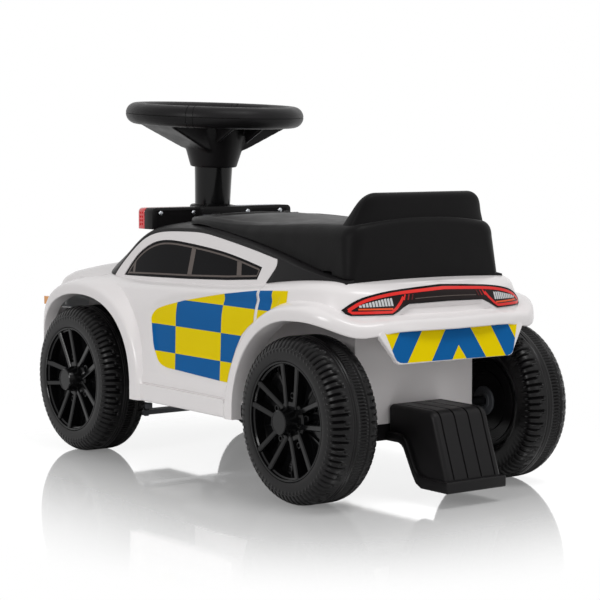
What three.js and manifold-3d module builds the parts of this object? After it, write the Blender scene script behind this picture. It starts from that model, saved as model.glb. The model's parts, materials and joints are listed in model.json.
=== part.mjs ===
// Police ride-on car: a foot-to-floor toddler car, as an assembly of its moulded and steel pieces.
// Millimetres. x runs forward from the rear axle, y to the left, z up from the height of the axles.

import * as THREE from 'three';
import { mergeVertices } from 'three/addons/utils/BufferGeometryUtils.js';
import Module from 'manifold-3d';

const wasm = await Module();
wasm.setup();

// Driving dimensions: layout
const wheelbase = 400;
const wheelRadius = 80;
const wheelWidth = 53;
const wheelCentreY = 121;
const noseOverhang = 125;
const noseX = wheelbase + noseOverhang;
const tailX = -77;
const bodyHalfWidth = 141;
const fitGap = 0.3;
const seamGap = 0.4;

// Driving dimensions: white shell
const shellWall = 3;
const sillBottomZ = -10;
const sillTopZ = 9;
const doorFootZ = 20;
const flareProud = 2.5;
const flareBand = 14;
const archTopClearance = 14;
const frontArchLength = 209;
const frontArchShift = -12.5;
const rearArchFrontClearance = 12;
const bumperEdgeZ = 80;
const bumperBand = 12;
const padTopZ = 84;
const padBottomZ = 55;
const padTopHalf = 84;
const padBottomHalf = 69;
const padDepth = 9;

// Driving dimensions: roof, windows and lamps
const roofWall = 3.5;
const roofTailX = -30;
const roofLedge = 8;
const windowInset = 1;
const windowThickness = 2.2;
const frameReach = 60;
const lampDepth = 5;
const lampProud = 0.6;
const binOpeningRear = 30;
const binOpeningFront = wheelbase - 158;
const binOpeningHalf = 66;

// Driving dimensions: tub, tray and foot
const tubRearX = -13;
const tubFrontX = wheelbase - 136;
const tubHalf = 74;
const tubWall = 3;
const binFloorZ = 20;
const trayBottomZ = -26;
const trayWall = 3;
const trayHalf = 72;
const trayNoseHalf = 46;
const trayNeckX = wheelbase - 115;
const trayFrontX = noseX - 20;
const trayRim = 8.7;
const trayRimProud = 3;
const footHalf = 34;
const footRearX = -105;
const footBottomZ = -65.5;
const footWall = 3.5;
const footGrooveDepth = 1;
const footGrooveWidth = 1.6;

// Driving dimensions: running gear
const axleRadius = 5;
const axleClearance = 0.4;
const axleLugY = 58;
const axleLugWidth = 9;
const axleLugRadius = 9.5;
const kingPinY = 72;
const kingPinRadius = 4.5;
const kingPinBoss = 9;
const lugRadius = 12;
const lugThickness = 9;
const lugGap = 32;
const steeringArm = 36;
const armDrop = 3;
const armSwing = 2.6;
const crankSwing = 5;
const armThickness = 5;
const linkPinRadius = 3;
const linkClearance = 0.7;
const linkDrop = 2;
const tieRodThickness = 5;
const tieRodWidth = 14;
const crankRadius = 20;
const bushRadius = 11;
const bushFlange = 15;
const bushFlangeThickness = 3;
const rimRadius = 57;
const rimLip = 5;
const rimFaceY = 20.5;
const webInnerY = -18;
const webThickness = 7;
const hubDiscRadius = 19;
const spokeThickness = 8;
const spokePairs = 5;
const capRadius = 14.5;
const capFaceRadius = 11;
const capFaceY = 34;
const capWall = 3.6;
const nutRadius = 9;
const nutHeight = 7;
const treadNotches = 12;
const notchDepth = 1.3;

// Driving dimensions: steering wheel and column
const steeringX = wheelbase - 67.3;
const steeringZ = 289.3;
const columnTilt = THREE.MathUtils.degToRad(3);
const rimCircle = 86.4;
const rimTubeRadius = 12;
const hubTopRadius = 34;
const hubFootRadius = 25;
const hubTopZ = -25;
const hubFootZ = -57;
const hubSocket = 12;
const rodSocket = 12;
const padSeatZ = -11;
const wheelPadTopZ = 4;
const hornFloorZ = -8;
const columnRadius = 21;
const columnFootRadius = 19.5;
const collarWall = 5;
const collarTopZ = -99;
const columnFootZ = -126;
const rodRadius = 6;
const hornRadius = 20;
const hornTravel = 3;
const hornProud = 4;
const spokeHalfWidth = 24;
const spokeDrop = 13.5;
const spokeLevelInset = 6;
const spokePlay = 0.6;

// Driving dimensions: seat and light bar
const seatFrontX = wheelbase - 134;
const seatRearX = -26;
const seatHollowHalf = 78;
const seatHollowZ = 176;
const seatClearance = 0.5;
const hingeX = seatFrontX - 3.5;
const hingeBarrel = 3.4;
const hingePinRadius = 2;
const hingeEarY = 46;
const hingeEarWidth = 8;
const humpTopZ = 213;
const humpBaseHalf = 83;
const humpTopHalf = 61;
const barRearX = steeringX - 15.7;
const barDepth = 16;
const lensDepth = 12;
const barTopZ = 189;
const barLowZ = 166;
const barHalf = 92;
const barMiddleHalf = 32;
const barMiddleProud = 9;

// Sides of a round piece
const roundSteps = 14;
const smallRoundSteps = 8;
const wheelRimSteps = 20;
const roadRimSteps = 16;

// Finishes
const finish = (color, roughness, metalness = 0) => {
  return new THREE.MeshStandardMaterial({ color, roughness, metalness, flatShading: true });
};
const whiteShell = finish(0xf0efec, 0.35);
const blackSatin = finish(0x1b1b1d, 0.5);
const blackGrained = finish(0x161617, 0.7);
const blackGloss = finish(0x0c0c0d, 0.18);
const windowGloss = finish(0x17161a, 0.2);
const lampRed = finish(0xc02028, 0.2);
const lensRed = finish(0xe8252c, 0.15);
const lensBlue = finish(0x1548b0, 0.15);
const lampClear = finish(0xd8dadc, 0.12);
const tyreBlack = finish(0x1e1d1e, 0.65);
const steel = finish(0xb4b6b8, 0.3, 1);
const bushPlastic = finish(0x8d9094, 0.6);

// Places along the car are drawn for axles 400 apart. Behind the doors they stay with the rear axle,
// ahead of them with the front axle, and the doors between take up a change of the wheelbase.
const station = (x) => x + (wheelbase - 400) * THREE.MathUtils.smoothstep(x, 100, 240);
const stations = (table) => table.map(([x, value]) => [station(x), value]);

// A smooth line through a few points, as a function of x
function lineThrough(points) {
  const xs = points.map((point) => point[0]);
  const values = points.map((point) => point[1]);
  const curve = new THREE.CubicInterpolant(xs, values, 1, new Float64Array(1));
  return (x) => curve.evaluate(THREE.MathUtils.clamp(x, xs[0], xs[xs.length - 1]))[0];
}

// A closed mesh, turned to face out, as a solid for joining and cutting
function solid(geometry, weldDistance = 1e-4) {
  const bare = new THREE.BufferGeometry();
  bare.setAttribute('position', geometry.getAttribute('position'));
  bare.setIndex(geometry.getIndex());
  const welded = weldDistance > 0 ? mergeVertices(bare, weldDistance) : bare;
  const vertices = welded.getAttribute('position').array;
  const triangles = [];
  let volume = 0;
  const corner = (i) => new THREE.Vector3().fromArray(vertices, 3 * i);
  for (let t = 0; t < welded.index.count; t += 3) {
    const [a, b, c] = [welded.index.getX(t), welded.index.getX(t + 1), welded.index.getX(t + 2)];
    if (a !== b && b !== c && c !== a) {
      triangles.push(a, b, c);
      volume += corner(a).dot(corner(b).cross(corner(c)));
    }
  }
  if (volume < 0) triangles.reverse();
  const mesh = new wasm.Mesh({
    numProp: 3,
    vertProperties: new Float32Array(vertices),
    triVerts: new Uint32Array(triangles),
  });
  mesh.merge();
  return new wasm.Manifold(mesh);
}

function geometryOf(body) {
  const mesh = body.getMesh();
  const geometry = new THREE.BufferGeometry();
  geometry.setAttribute('position', new THREE.BufferAttribute(mesh.vertProperties, 3));
  geometry.setIndex(new THREE.BufferAttribute(mesh.triVerts, 1));
  return geometry;
}

const moved = (body, matrix) => solid(geometryOf(body).applyMatrix4(matrix), 0);
const mirrored = (body) => moved(body, new THREE.Matrix4().makeScale(1, -1, 1));
const joined = (...bodies) => bodies.reduce((whole, body) => whole.add(body));
const cutBy = (body, ...tools) => tools.reduce((rest, tool) => rest.subtract(tool), body);

// A box between two corners
function block(x0, x1, y0, y1, z0, z1) {
  const box = new THREE.BoxGeometry(x1 - x0, y1 - y0, z1 - z0);
  return solid(box.translate((x0 + x1) / 2, (y0 + y1) / 2, (z0 + z1) / 2));
}

// A flat outline pushed along an axis: its two coordinates are the named pair of axes
const outlineAxes = {
  xz: [new THREE.Vector3(1, 0, 0), new THREE.Vector3(0, 0, 1), new THREE.Vector3(0, -1, 0)],
  yz: [new THREE.Vector3(0, 1, 0), new THREE.Vector3(0, 0, 1), new THREE.Vector3(1, 0, 0)],
  xy: [new THREE.Vector3(1, 0, 0), new THREE.Vector3(0, 1, 0), new THREE.Vector3(0, 0, 1)],
};
function slab(shape, axes, from, to, curveSegments = 6) {
  const geometry = new THREE.ExtrudeGeometry(shape, { depth: to - from, bevelEnabled: false, curveSegments });
  const [first, second, depth] = outlineAxes[axes];
  const start = axes === 'xz' ? to : from;
  const frame = new THREE.Matrix4().makeBasis(first, second, depth);
  frame.setPosition(depth.clone().multiplyScalar(axes === 'xz' ? -start : start));
  return solid(geometry.applyMatrix4(frame));
}

const polygon = (points) => new THREE.Shape(points.map(([u, v]) => new THREE.Vector2(u, v)));

// A round rod between two points
function rod(from, to, radius, segments = 12, endRadius = radius) {
  const start = new THREE.Vector3(...from);
  const along = new THREE.Vector3(...to).sub(start);
  const cylinder = new THREE.CylinderGeometry(endRadius, radius, along.length(), segments);
  cylinder.translate(0, along.length() / 2, 0);
  const turn = new THREE.Quaternion().setFromUnitVectors(
    new THREE.Vector3(0, 1, 0), along.clone().normalize());
  cylinder.applyQuaternion(turn);
  return solid(cylinder.translate(start.x, start.y, start.z));
}

// A closed profile of radius and height turned about the y axis, or about the z axis
function turned(profile, segments) {
  const points = profile.map(([radius, height]) => new THREE.Vector2(radius, height));
  points.push(points[0].clone());
  return solid(new THREE.LatheGeometry(points, segments));
}
function turnedUpright(profile, segments) {
  const points = profile.map(([radius, height]) => new THREE.Vector2(radius, height));
  points.push(points[0].clone());
  return solid(new THREE.LatheGeometry(points, segments).rotateX(Math.PI / 2));
}

// A skin over rings of equally many points, closed by a fan at both ends unless the end rings are flat folds
function loft(rings, capped = true) {
  const count = rings[0].length;
  const positions = rings.flat().flatMap((point) => point);
  const index = [];
  for (let r = 0; r + 1 < rings.length; r += 1) {
    for (let i = 0; i < count; i += 1) {
      const a = r * count + i;
      const b = r * count + ((i + 1) % count);
      index.push(a, b, b + count, a, b + count, a + count);
    }
  }
  const last = (rings.length - 1) * count;
  for (let i = 1; capped && i + 1 < count; i += 1) {
    index.push(0, i + 1, i, last, last + i, last + i + 1);
  }
  const geometry = new THREE.BufferGeometry();
  geometry.setAttribute('position', new THREE.Float32BufferAttribute(positions, 3));
  geometry.setIndex(index);
  return solid(geometry);
}

// The car's scene graph
const rideOnCar = new THREE.Group();
const car = new THREE.Group();
car.position.set(-(noseX + footRearX) / 2, 0, wheelRadius);
rideOnCar.add(car);
function addPiece(name, body, material, parent = car) {
  const mesh = new THREE.Mesh(geometryOf(body), material);
  mesh.name = name;
  parent.add(mesh);
}

// White shell: plan outline from the nose centre round the left side to the tail centre
const planLeft = [
  [noseX, 0], [noseX - 2, 62], [noseX - 14, 105], [noseX - 42, 131], [noseX - 105, bodyHalfWidth],
  [(noseX + tailX) / 2, bodyHalfWidth], [tailX + 90, bodyHalfWidth], [tailX + 45, 132],
  [tailX + 20, 110], [tailX + 5, 66], [tailX, 0],
];
const planRight = planLeft.slice(1, -1).reverse().map(([x, y]) => [x, -y]);
const planPoints = [...planLeft, ...planRight].map(([x, y]) => new THREE.Vector3(x, y, 0));
const planCurve = new THREE.CatmullRomCurve3(planPoints, true, 'centripetal');
const planSteps = 16;
const plan = [];
for (let i = 0; i <= planSteps; i += 1) {
  const u = (0.5 * i) / planSteps;
  const tangent = planCurve.getTangent(u);
  const point = planCurve.getPoint(u);
  const normal = new THREE.Vector3(tangent.y, -tangent.x, 0);
  if (i === 0 || i === planSteps) {
    point.y = 0;
    normal.set(Math.sign(normal.x), 0, 0);
  }
  plan.push({ point, normal });
}

// Height of the shoulder along the car, and how far the bonnet and deck rise above it in the middle
const shoulderZ = lineThrough([
  [tailX, 127], [-26, 130], [74, 124], [98, 121], [station(221), 115], [station(392), 114],
  [noseX - 84, 116], [noseX - 39, 107], [noseX - 15, 93], [noseX, 78],
]);
const crownZ = lineThrough([
  [tailX, 2], [100, 4], [station(392), 11], [noseX - 84, 10], [noseX - 25, 8], [noseX, 4],
]);

// Side profile of the shell: share of the height from door foot to shoulder, and inset from the plan
const sideProfile = [[0, 4], [0.55, 10], [0.88, 17], [1, 31]];
const liningProfile = [[0.88, 17], [1, 31]];
const crownRows = [[0.6, 0.75], [0, 1]];

function shellForm(inset, floorZ, profile = sideProfile) {
  const columns = plan.map(({ point, normal }) => {
    const at = (depth, z) => {
      const x = point.x - normal.x * (depth + inset);
      const y = Math.max(0, point.y - normal.y * (depth + inset));
      return [x, y, z];
    };
    const top = shoulderZ(point.x) - inset;
    const column = [at(2, floorZ), at(0, sillTopZ)];
    profile.forEach(([share, depth]) => {
      column.push(at(depth, THREE.MathUtils.lerp(doorFootZ, top, share)));
    });
    const [x, y] = column[column.length - 1];
    crownRows.forEach(([width, rise]) => column.push([x, width * y, top + rise * crownZ(x)]));
    return column;
  });
  const rings = columns.map((column) => {
    const left = column.slice(0, -1);
    const right = left.map(([x, y, z]) => [x, -y, z]).reverse();
    return [...left, column[column.length - 1], ...right];
  });
  return loft(rings, false);
}

// Arch outlines in side view
function archOval(centreX, halfLength, height, squareness, floorZ, steps = 12) {
  const points = [];
  for (let i = 0; i <= steps; i += 1) {
    const angle = (Math.PI * i) / steps;
    const across = Math.sign(Math.cos(angle)) * Math.abs(Math.cos(angle)) ** (2 / squareness);
    points.push([centreX + halfLength * across, height * Math.sin(angle) ** (2 / squareness)]);
  }
  return [[centreX + halfLength, floorZ], ...points, [centreX - halfLength, floorZ]];
}
const belowBody = -120;
const frontArchX = wheelbase + frontArchShift;
const archHeight = wheelRadius + archTopClearance;
const frontOpening = archOval(frontArchX, frontArchLength / 2, archHeight, 2.3, belowBody);
const flareOval = (extra) => archOval(
  frontArchX - flareBand / 4, frontArchLength / 2 + flareBand + extra, archHeight + flareBand + extra, 2.4,
  belowBody);

// The rear arch is round in front of the axle and runs out over the bumper edge behind it
function rearArch(radius, height, tailZ, steps = 7) {
  const points = [[radius, belowBody]];
  for (let i = 0; i <= steps; i += 1) {
    const angle = (0.5 * Math.PI * i) / steps;
    points.push([radius * Math.cos(angle), height * Math.sin(angle)]);
  }
  return [...points, [-35, height], [tailX - 30, tailZ], [tailX - 30, belowBody]];
}
const rearOpening = rearArch(wheelRadius + rearArchFrontClearance, archHeight, bumperEdgeZ - 4);
const rearFlare = (extra) => rearArch(
  wheelRadius + rearArchFrontClearance + 20 + extra, archHeight + flareBand + extra,
  bumperEdgeZ + bumperBand + extra);

const outerHalf = bodyHalfWidth + 20;
const shellOuter = shellForm(0, sillBottomZ);
const shellInner = shellForm(shellWall, belowBody, liningProfile);
const flareForm = loft([sillBottomZ, shoulderZ(wheelbase)].map((z) => {
  const left = plan.map(({ point, normal }) => [
    point.x + normal.x * flareProud, point.y + normal.y * flareProud, z]);
  return [...left, ...left.slice(1, -1).reverse().map(([x, y]) => [x, -y, z])];
}));
const frontFlareBand = slab(polygon(flareOval(0)), 'xz', -outerHalf, outerHalf);
const rearFlareBand = slab(polygon(rearFlare(0)), 'xz', -outerHalf, outerHalf);
const flares = flareForm.intersect(joined(frontFlareBand, rearFlareBand));
const noseFloor = block(wheelbase + frontArchLength / 2 - 5, noseX + 10, -outerHalf, outerHalf,
  belowBody, sillBottomZ + shellWall);

// Sloping pad under the tail lamps, carried by the bumper
const tailPad = slab(polygon([
  [-padTopHalf, padTopZ], [-padBottomHalf, padBottomZ], [padBottomHalf, padBottomZ],
  [padTopHalf, padTopZ], [padTopHalf, padTopZ + bumperBand], [-padTopHalf, padTopZ + bumperBand],
]), 'yz', tailX + 3, tailX + 3 + padDepth);

// Greenhouse: roof edge, roof centre and half width at the belt along the car
const roofEdgeZ = lineThrough(stations([
  [-30, 130.5], [0, 134], [30, 139.5], [70, 149], [116, 158], [170, 166.5], [206, 170.5], [244, 170.5],
  [283, 168.5], [311, 162.5], [337, 148.5], [371, 122], [392, 110], [430, 80],
]));
const roofCentreZ = lineThrough(stations([
  [-30, 134], [0, 139], [50, 150], [100, 160], [170, 171], [230, 176], [280, 177], [310, 174],
  [350, 161], [392, 142], [430, 123],
]));
const beltHalf = lineThrough(stations([
  [-30, 98], [40, 107], [110, 110], [250, 110], [371, 105], [430, 96],
]));
const tumblehome = 0.17;
const greenhouseStations = [roofTailX, 10, 55, 105, 155, 205, 250, 290, 325, 355, 385, 430].map(station);

function greenhouseForm(inset, floorZ) {
  return loft(greenhouseStations.map((x, i) => {
    const end = i === 0 ? inset : i === greenhouseStations.length - 1 ? -inset : 0;
    const edgeZ = roofEdgeZ(x) - inset;
    const beltZ = Math.min(shoulderZ(x) - 1, edgeZ - 2);
    const belt = beltHalf(x) - inset;
    const edge = belt - tumblehome * (edgeZ - beltZ);
    const centre = roofCentreZ(x) - inset;
    const rise = centre - edgeZ;
    const left = [
      [belt, Math.min(floorZ, beltZ - 1)], [belt, beltZ], [edge, edgeZ], [edge - 7, edgeZ + 0.42 * rise],
      [0.62 * edge, edgeZ + 0.8 * rise],
    ];
    const half = left.map(([y, z]) => [x + end, y, z]);
    const right = left.map(([y, z]) => [x + end, -y, z]).reverse();
    return [...half, [x + end, 0, centre], ...right];
  }));
}

// Window frame and window outlines in side view, as smooth curves
function frameOutline(extra) {
  const top = new THREE.SplineCurve([
    [376, 112], [371, 118], [337, 145], [311, 159], [283, 165], [244, 167], [206, 167], [170, 163],
    [116, 155], [70, 147],
  ].map(([x, z]) => new THREE.Vector2(station(x), z + extra)));
  const points = top.getPoints(12).map((point) => [point.x, point.y]);
  points[0][0] += extra;
  const lowZ = sillTopZ + 70;
  return [[station(376) + extra, lowZ], ...points, [66 - extra, 140], [72 - extra, 126], [76 - extra, lowZ]];
}
function windowOutline(extra) {
  const top = new THREE.SplineCurve([
    [352, 116], [328, 139], [298, 153], [268, 157], [221, 155], [157, 149], [93, 138],
  ].map(([x, z]) => new THREE.Vector2(station(x), z + extra)));
  const points = top.getPoints(9).map((point) => [point.x, point.y]);
  points[0][0] += 1.5 * extra;
  points[points.length - 1][0] -= extra;
  return [...points, [99 - extra, 126 - extra], [station(221), 119.5 - extra],
    [station(352) + 1.5 * extra, 116 - extra]];
}

// Side view regions that part the white shell at its seams
const farAway = 400;
const pillarSeamX = station(388);
function frontRegion(extra) {
  const arch = flareOval(extra).slice(1, -1).filter(([x, z]) => x < pillarSeamX - 6 || z < 0);
  return [[noseX + farAway, belowBody], [noseX + farAway, farAway], [pillarSeamX - extra, farAway],
    [pillarSeamX - extra, archHeight + flareBand + 6], ...arch.filter(([x]) => x < pillarSeamX - 6),
    [arch[arch.length - 1][0], belowBody]];
}
function rearRegion(extra) {
  const arch = rearFlare(extra).slice(1, 5);
  return [[arch[0][0], belowBody], ...arch, [76 + extra, shoulderZ(74) - 6], [76 + extra, farAway],
    [tailX - farAway, farAway], [tailX - farAway, belowBody]];
}
const sideSlab = (outline) => slab(polygon(outline), 'xz', -outerHalf, outerHalf);

// Panels let into the shell: tail lamp, headlamps and grille, as outlines seen along the car
const tailLampOutline = (extra) => {
  const lens = [
    [0, 110.6], [46, 109.8], [53, 106.8], [65, 100.6], [105, 100.8], [110.2, 105.8], [103, 111.2],
    [92, 116.3], [71, 120.8], [45, 123.2], [0, 125.3],
  ];
  const tip = 5;
  const grown = lens.map(([y, z], i) => [y + (y > 100 ? extra : 0), z + Math.sign(i - tip) * extra]);
  const other = grown.slice(1, -1).reverse().map(([y, z]) => [-y, z]);
  return polygon([...grown, ...other]);
};
const headlampOutline = (extra) => polygon([
  [62 - extra, 66 - extra], [118, 72 - extra], [150, 80 - extra], [150, 90 + extra], [112, 91 + extra],
  [66 - extra, 80 + extra],
]);
const grilleOutline = (extra) => polygon([
  [-52 - extra, 22 - extra], [52 + extra, 22 - extra], [74 + extra, 54 + extra], [-74 - extra, 54 + extra],
]);
const lampRecessX = tailX + 45;
const noseRecessX = noseX - 60;
const tailLampSlab = (extra) => slab(tailLampOutline(extra), 'yz', tailX - 20, lampRecessX);
const headlampSlab = (extra) => slab(headlampOutline(extra), 'yz', noseRecessX, noseX + 20);
const grilleSlab = (extra) => slab(grilleOutline(extra), 'yz', noseRecessX, noseX + 20);
const lampSkin = shellForm(-lampProud, belowBody);
const lampBack = shellForm(lampDepth, belowBody - 10, liningProfile);
const inletPanel = (region) => cutBy(lampSkin.intersect(region), lampBack);

// The shell as one moulding, then parted into front, sides and rear
const greenhouseOuter = greenhouseForm(0, sillTopZ + 90);
const footprintSide = [...greenhouseStations.slice(1, -1), pillarSeamX + roofLedge].map(
  (x) => [x, beltHalf(x) - roofLedge]);
const footprintLeft = [[roofTailX + roofLedge, beltHalf(roofTailX) - roofLedge], ...footprintSide];
const footprintRight = footprintLeft.map(([x, y]) => [x, -y]).reverse();
const roofFootprint = slab(polygon([...footprintLeft, ...footprintRight]), 'xy', belowBody, farAway);
const openings = joined(sideSlab(frontOpening), sideSlab(rearOpening));
const shell = joined(
  cutBy(joined(shellOuter, flares), cutBy(shellInner, noseFloor), openings, roofFootprint), tailPad);
const frames = cutBy(greenhouseOuter, greenhouseForm(roofWall, belowBody - 10))
  .intersect(joined(
    slab(polygon(frameOutline(0)), 'xz', frameReach, outerHalf),
    slab(polygon(frameOutline(0)), 'xz', -outerHalf, -frameReach)));
const windowHoles = sideSlab(windowOutline(fitGap));
const frontBody = cutBy(
  shell.intersect(sideSlab(frontRegion(0))), headlampSlab(fitGap), mirrored(headlampSlab(fitGap)),
  grilleSlab(fitGap));
const rearBody = cutBy(shell.intersect(sideSlab(rearRegion(0))), tailLampSlab(fitGap));
const endRegions = joined(sideSlab(frontRegion(seamGap)), sideSlab(rearRegion(seamGap)));
const sides = cutBy(
  joined(cutBy(shell, endRegions), cutBy(frames, shellForm(-fitGap, belowBody).intersect(endRegions))),
  windowHoles);
const leftHalf = block(-farAway, farAway + noseX, 1, farAway, belowBody, farAway);
addPiece('front_body', frontBody, whiteShell);
addPiece('rear_body', rearBody, whiteShell);
const leftSide = sides.intersect(leftHalf);
addPiece('left_side_panel', leftSide, whiteShell);
addPiece('right_side_panel', mirrored(leftSide), whiteShell);
addPiece('tail_lamp', inletPanel(tailLampSlab(0)), lampRed);
const leftHeadlamp = inletPanel(headlampSlab(0));
addPiece('left_headlamp', leftHeadlamp, lampClear);
addPiece('right_headlamp', mirrored(leftHeadlamp), lampClear);
addPiece('grille', inletPanel(grilleSlab(0)), blackGloss);

const windowPane = cutBy(greenhouseForm(windowInset, belowBody), greenhouseForm(
  windowInset + windowThickness, belowBody - 10)).intersect(sideSlab(windowOutline(0)));
const leftWindow = windowPane.intersect(leftHalf);
addPiece('left_window', leftWindow, windowGloss);
addPiece('right_window', mirrored(leftWindow), windowGloss);

// Steering axis: a group that leans back about the steering wheel's centre
const steering = new THREE.Group();
steering.position.set(steeringX, 0, steeringZ);
steering.rotation.y = -columnTilt;
steering.updateMatrix();
car.add(steering);
const steeringAxisX = (z) => steeringX + (steeringZ - z) * Math.tan(columnTilt);
const onSteeringAxis = (body) => moved(body, steering.matrix);

// Roof panel: windscreen, roof and rear pillars in one moulding, open over the bin
const hingeZ = roofCentreZ(hingeX) + hingePinRadius + hingeBarrel - 1.4;
const roofSkin = cutBy(
  greenhouseOuter, greenhouseForm(roofWall, belowBody - 10), shellForm(-fitGap, belowBody),
  slab(polygon(frameOutline(fitGap)), 'xz', frameReach, outerHalf),
  slab(polygon(frameOutline(fitGap)), 'xz', -outerHalf, -frameReach),
  block(binOpeningRear, binOpeningFront, -binOpeningHalf, binOpeningHalf, belowBody, farAway),
  onSteeringAxis(rod([0, 0, columnFootZ - 30], [0, 0, 0], columnFootRadius + 2 * fitGap, roundSteps)));
const earWays = [1, -1];
const hingeEars = earWays.map((way) => {
  const near = way * (hingeEarY - hingeEarWidth / 2);
  const far = way * (hingeEarY + hingeEarWidth / 2);
  const barrel = rod([hingeX, near, hingeZ], [hingeX, far, hingeZ], hingeBarrel, 10);
  const stem = block(hingeX - hingeBarrel, hingeX + hingeBarrel, Math.min(near, far), Math.max(near, far),
    roofCentreZ(hingeX) - roofWall, hingeZ);
  return joined(barrel, stem);
});
const hingeBore = rod([hingeX, -barHalf, hingeZ], [hingeX, barHalf, hingeZ], hingePinRadius + fitGap, 10);
addPiece('roof_panel', cutBy(joined(roofSkin, ...hingeEars), hingeBore), blackSatin);
const hingePinReach = hingeEarY + 2 * hingeEarWidth;
addPiece('seat_hinge_pin', rod([hingeX, -hingePinReach, hingeZ], [hingeX, hingePinReach, hingeZ],
  hingePinRadius, 10), steel);

// Seat lid: top, skirt and rear block in one loft, with the backrest hump on it
const seatTopZ = lineThrough([
  [seatRearX, 189], [30, 187], [100, 185.5], [station(174), 186], [station(240), 185.3],
  [seatFrontX - 10, 184.4],
  [seatFrontX - 3, hingeZ + hingeBarrel], [seatFrontX, hingeZ + 1.5],
]);
const seatEdgeZ = lineThrough([
  [seatRearX, 182], [29, 183], [89, 180], [station(184), 178], [station(240), 180.5],
  [seatFrontX, hingeZ + 0.5],
]);
const seatHalf = lineThrough([
  [seatRearX, 91], [-6, 94.5], [60, 94.5], [station(184), 92], [station(236), 88], [seatFrontX - 10, 82],
  [seatFrontX - 3, 73], [seatFrontX, 64],
]);
const skirtLowZ = lineThrough([
  [seatRearX, 130.5], [-6, 131], [6, 134], [45, 143.5], [85, 153.5], [station(123), 162],
  [station(184), 170], [station(240), 175],
  [seatFrontX - 3, hingeZ - hingeBarrel], [seatFrontX, hingeZ - 1.5],
]);
const seatStations = [
  seatRearX, seatRearX + 5, 0, 45, 90, station(140), station(190), station(236), seatFrontX - 10,
  seatFrontX - 3, seatFrontX];
const seatForm = loft(seatStations.map((x) => {
  const half = seatHalf(x);
  const shoulder = Math.min(12, 0.15 * half);
  const left = [
    [half, skirtLowZ(x)], [half - 0.4 * shoulder, 0.35 * skirtLowZ(x) + 0.65 * seatEdgeZ(x)],
    [half - shoulder, seatEdgeZ(x)], [0.6 * half, 0.25 * seatEdgeZ(x) + 0.75 * seatTopZ(x)],
  ];
  const right = left.map(([y, z]) => [x, -y, z]).reverse();
  return [...left.map(([y, z]) => [x, y, z]), [x, 0, seatTopZ(x)], ...right];
}));
const humpRings = [[seatRearX + 5, 9, humpBaseHalf, 176], [seatRearX + 4, 4, humpBaseHalf, 190],
  [seatRearX, -6, humpBaseHalf - 8, 202], [seatRearX - 2, -11, humpTopHalf + 4, 210],
  [seatRearX, -16, humpTopHalf - 6, humpTopZ]];
const humpSteps = 12;
const hump = loft(humpRings.map(([rearX, frontX, half, z]) => {
  return Array.from({ length: humpSteps }, (_, i) => {
    const angle = (2 * Math.PI * i) / humpSteps;
    const across = Math.sign(Math.sin(angle)) * Math.abs(Math.sin(angle)) ** 0.4;
    const along = Math.sign(Math.cos(angle)) * Math.abs(Math.cos(angle)) ** 0.6;
    return [(frontX + rearX) / 2 + (along * (frontX - rearX)) / 2, half * across, z];
  });
}));
const seatHollow = block(
  seatRearX + 10, station(190), -seatHollowHalf, seatHollowHalf, belowBody, seatHollowZ);
const earSlots = earWays.map((way) => {
  const middle = way * hingeEarY;
  const reach = hingeEarWidth / 2 + fitGap;
  return block(hingeX - hingeBarrel - 3, seatFrontX + 5, middle - reach, middle + reach, belowBody, farAway);
});
addPiece('seat', cutBy(joined(seatForm, hump), greenhouseForm(-seatClearance, belowBody),
  shellForm(-seatClearance, belowBody), seatHollow, hingeBore, ...earSlots), blackGrained);

// Light bar: housing across the roof with a red and a blue lens in front of it
function barOutline(fromY, toY) {
  const corner = 5;
  return polygon([[fromY, barLowZ], [toY, barLowZ], [toY, barTopZ - corner], [toY - corner, barTopZ],
    [fromY, barTopZ]]);
}
const roofCover = greenhouseForm(-fitGap, belowBody);
const collarRadius = columnFootRadius + 2 * fitGap + collarWall;
const collarRoom = onSteeringAxis(
  rod([0, 0, collarTopZ - 60], [0, 0, collarTopZ + 30], collarRadius + 2 * fitGap, roundSteps));
const barArm = joined(
  slab(barOutline(0, barHalf), 'yz', barRearX, barRearX + barDepth),
  slab(barOutline(0, barMiddleHalf), 'yz', barRearX - barMiddleProud, barRearX + 1));
addPiece('light_bar_housing', cutBy(joined(barArm, mirrored(barArm)), roofCover, collarRoom), blackSatin);
const lensRearX = barRearX + barDepth + fitGap;
const leftLens = cutBy(
  slab(barOutline(barMiddleHalf, barHalf), 'yz', lensRearX, lensRearX + lensDepth), roofCover, collarRoom);
addPiece('left_light_lens', leftLens, lensRed);
addPiece('right_light_lens', mirrored(leftLens), lensBlue);

// Collar round the column's foot, standing on the roof
const collarRing = turnedUpright([
  [columnFootRadius + 2 * fitGap, collarTopZ - 40], [collarRadius, collarTopZ - 40],
  [collarRadius, collarTopZ - 2], [collarRadius - 2, collarTopZ], [columnFootRadius + 2 * fitGap, collarTopZ],
], roundSteps);
addPiece('column_collar', cutBy(onSteeringAxis(collarRing), roofCover), blackSatin);

// Column, steering wheel and horn button, upright on the leaning axis
const rodBore = rodRadius + fitGap;
const columnTopZ = hubFootZ + hubSocket;
addPiece('steering_column', turnedUpright([
  [rodBore, columnFootZ], [columnFootRadius, columnFootZ], [columnFootRadius, collarTopZ],
  [columnRadius, columnTopZ - fitGap], [rodBore, columnTopZ - fitGap],
], roundSteps), blackGloss, steering);

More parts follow.
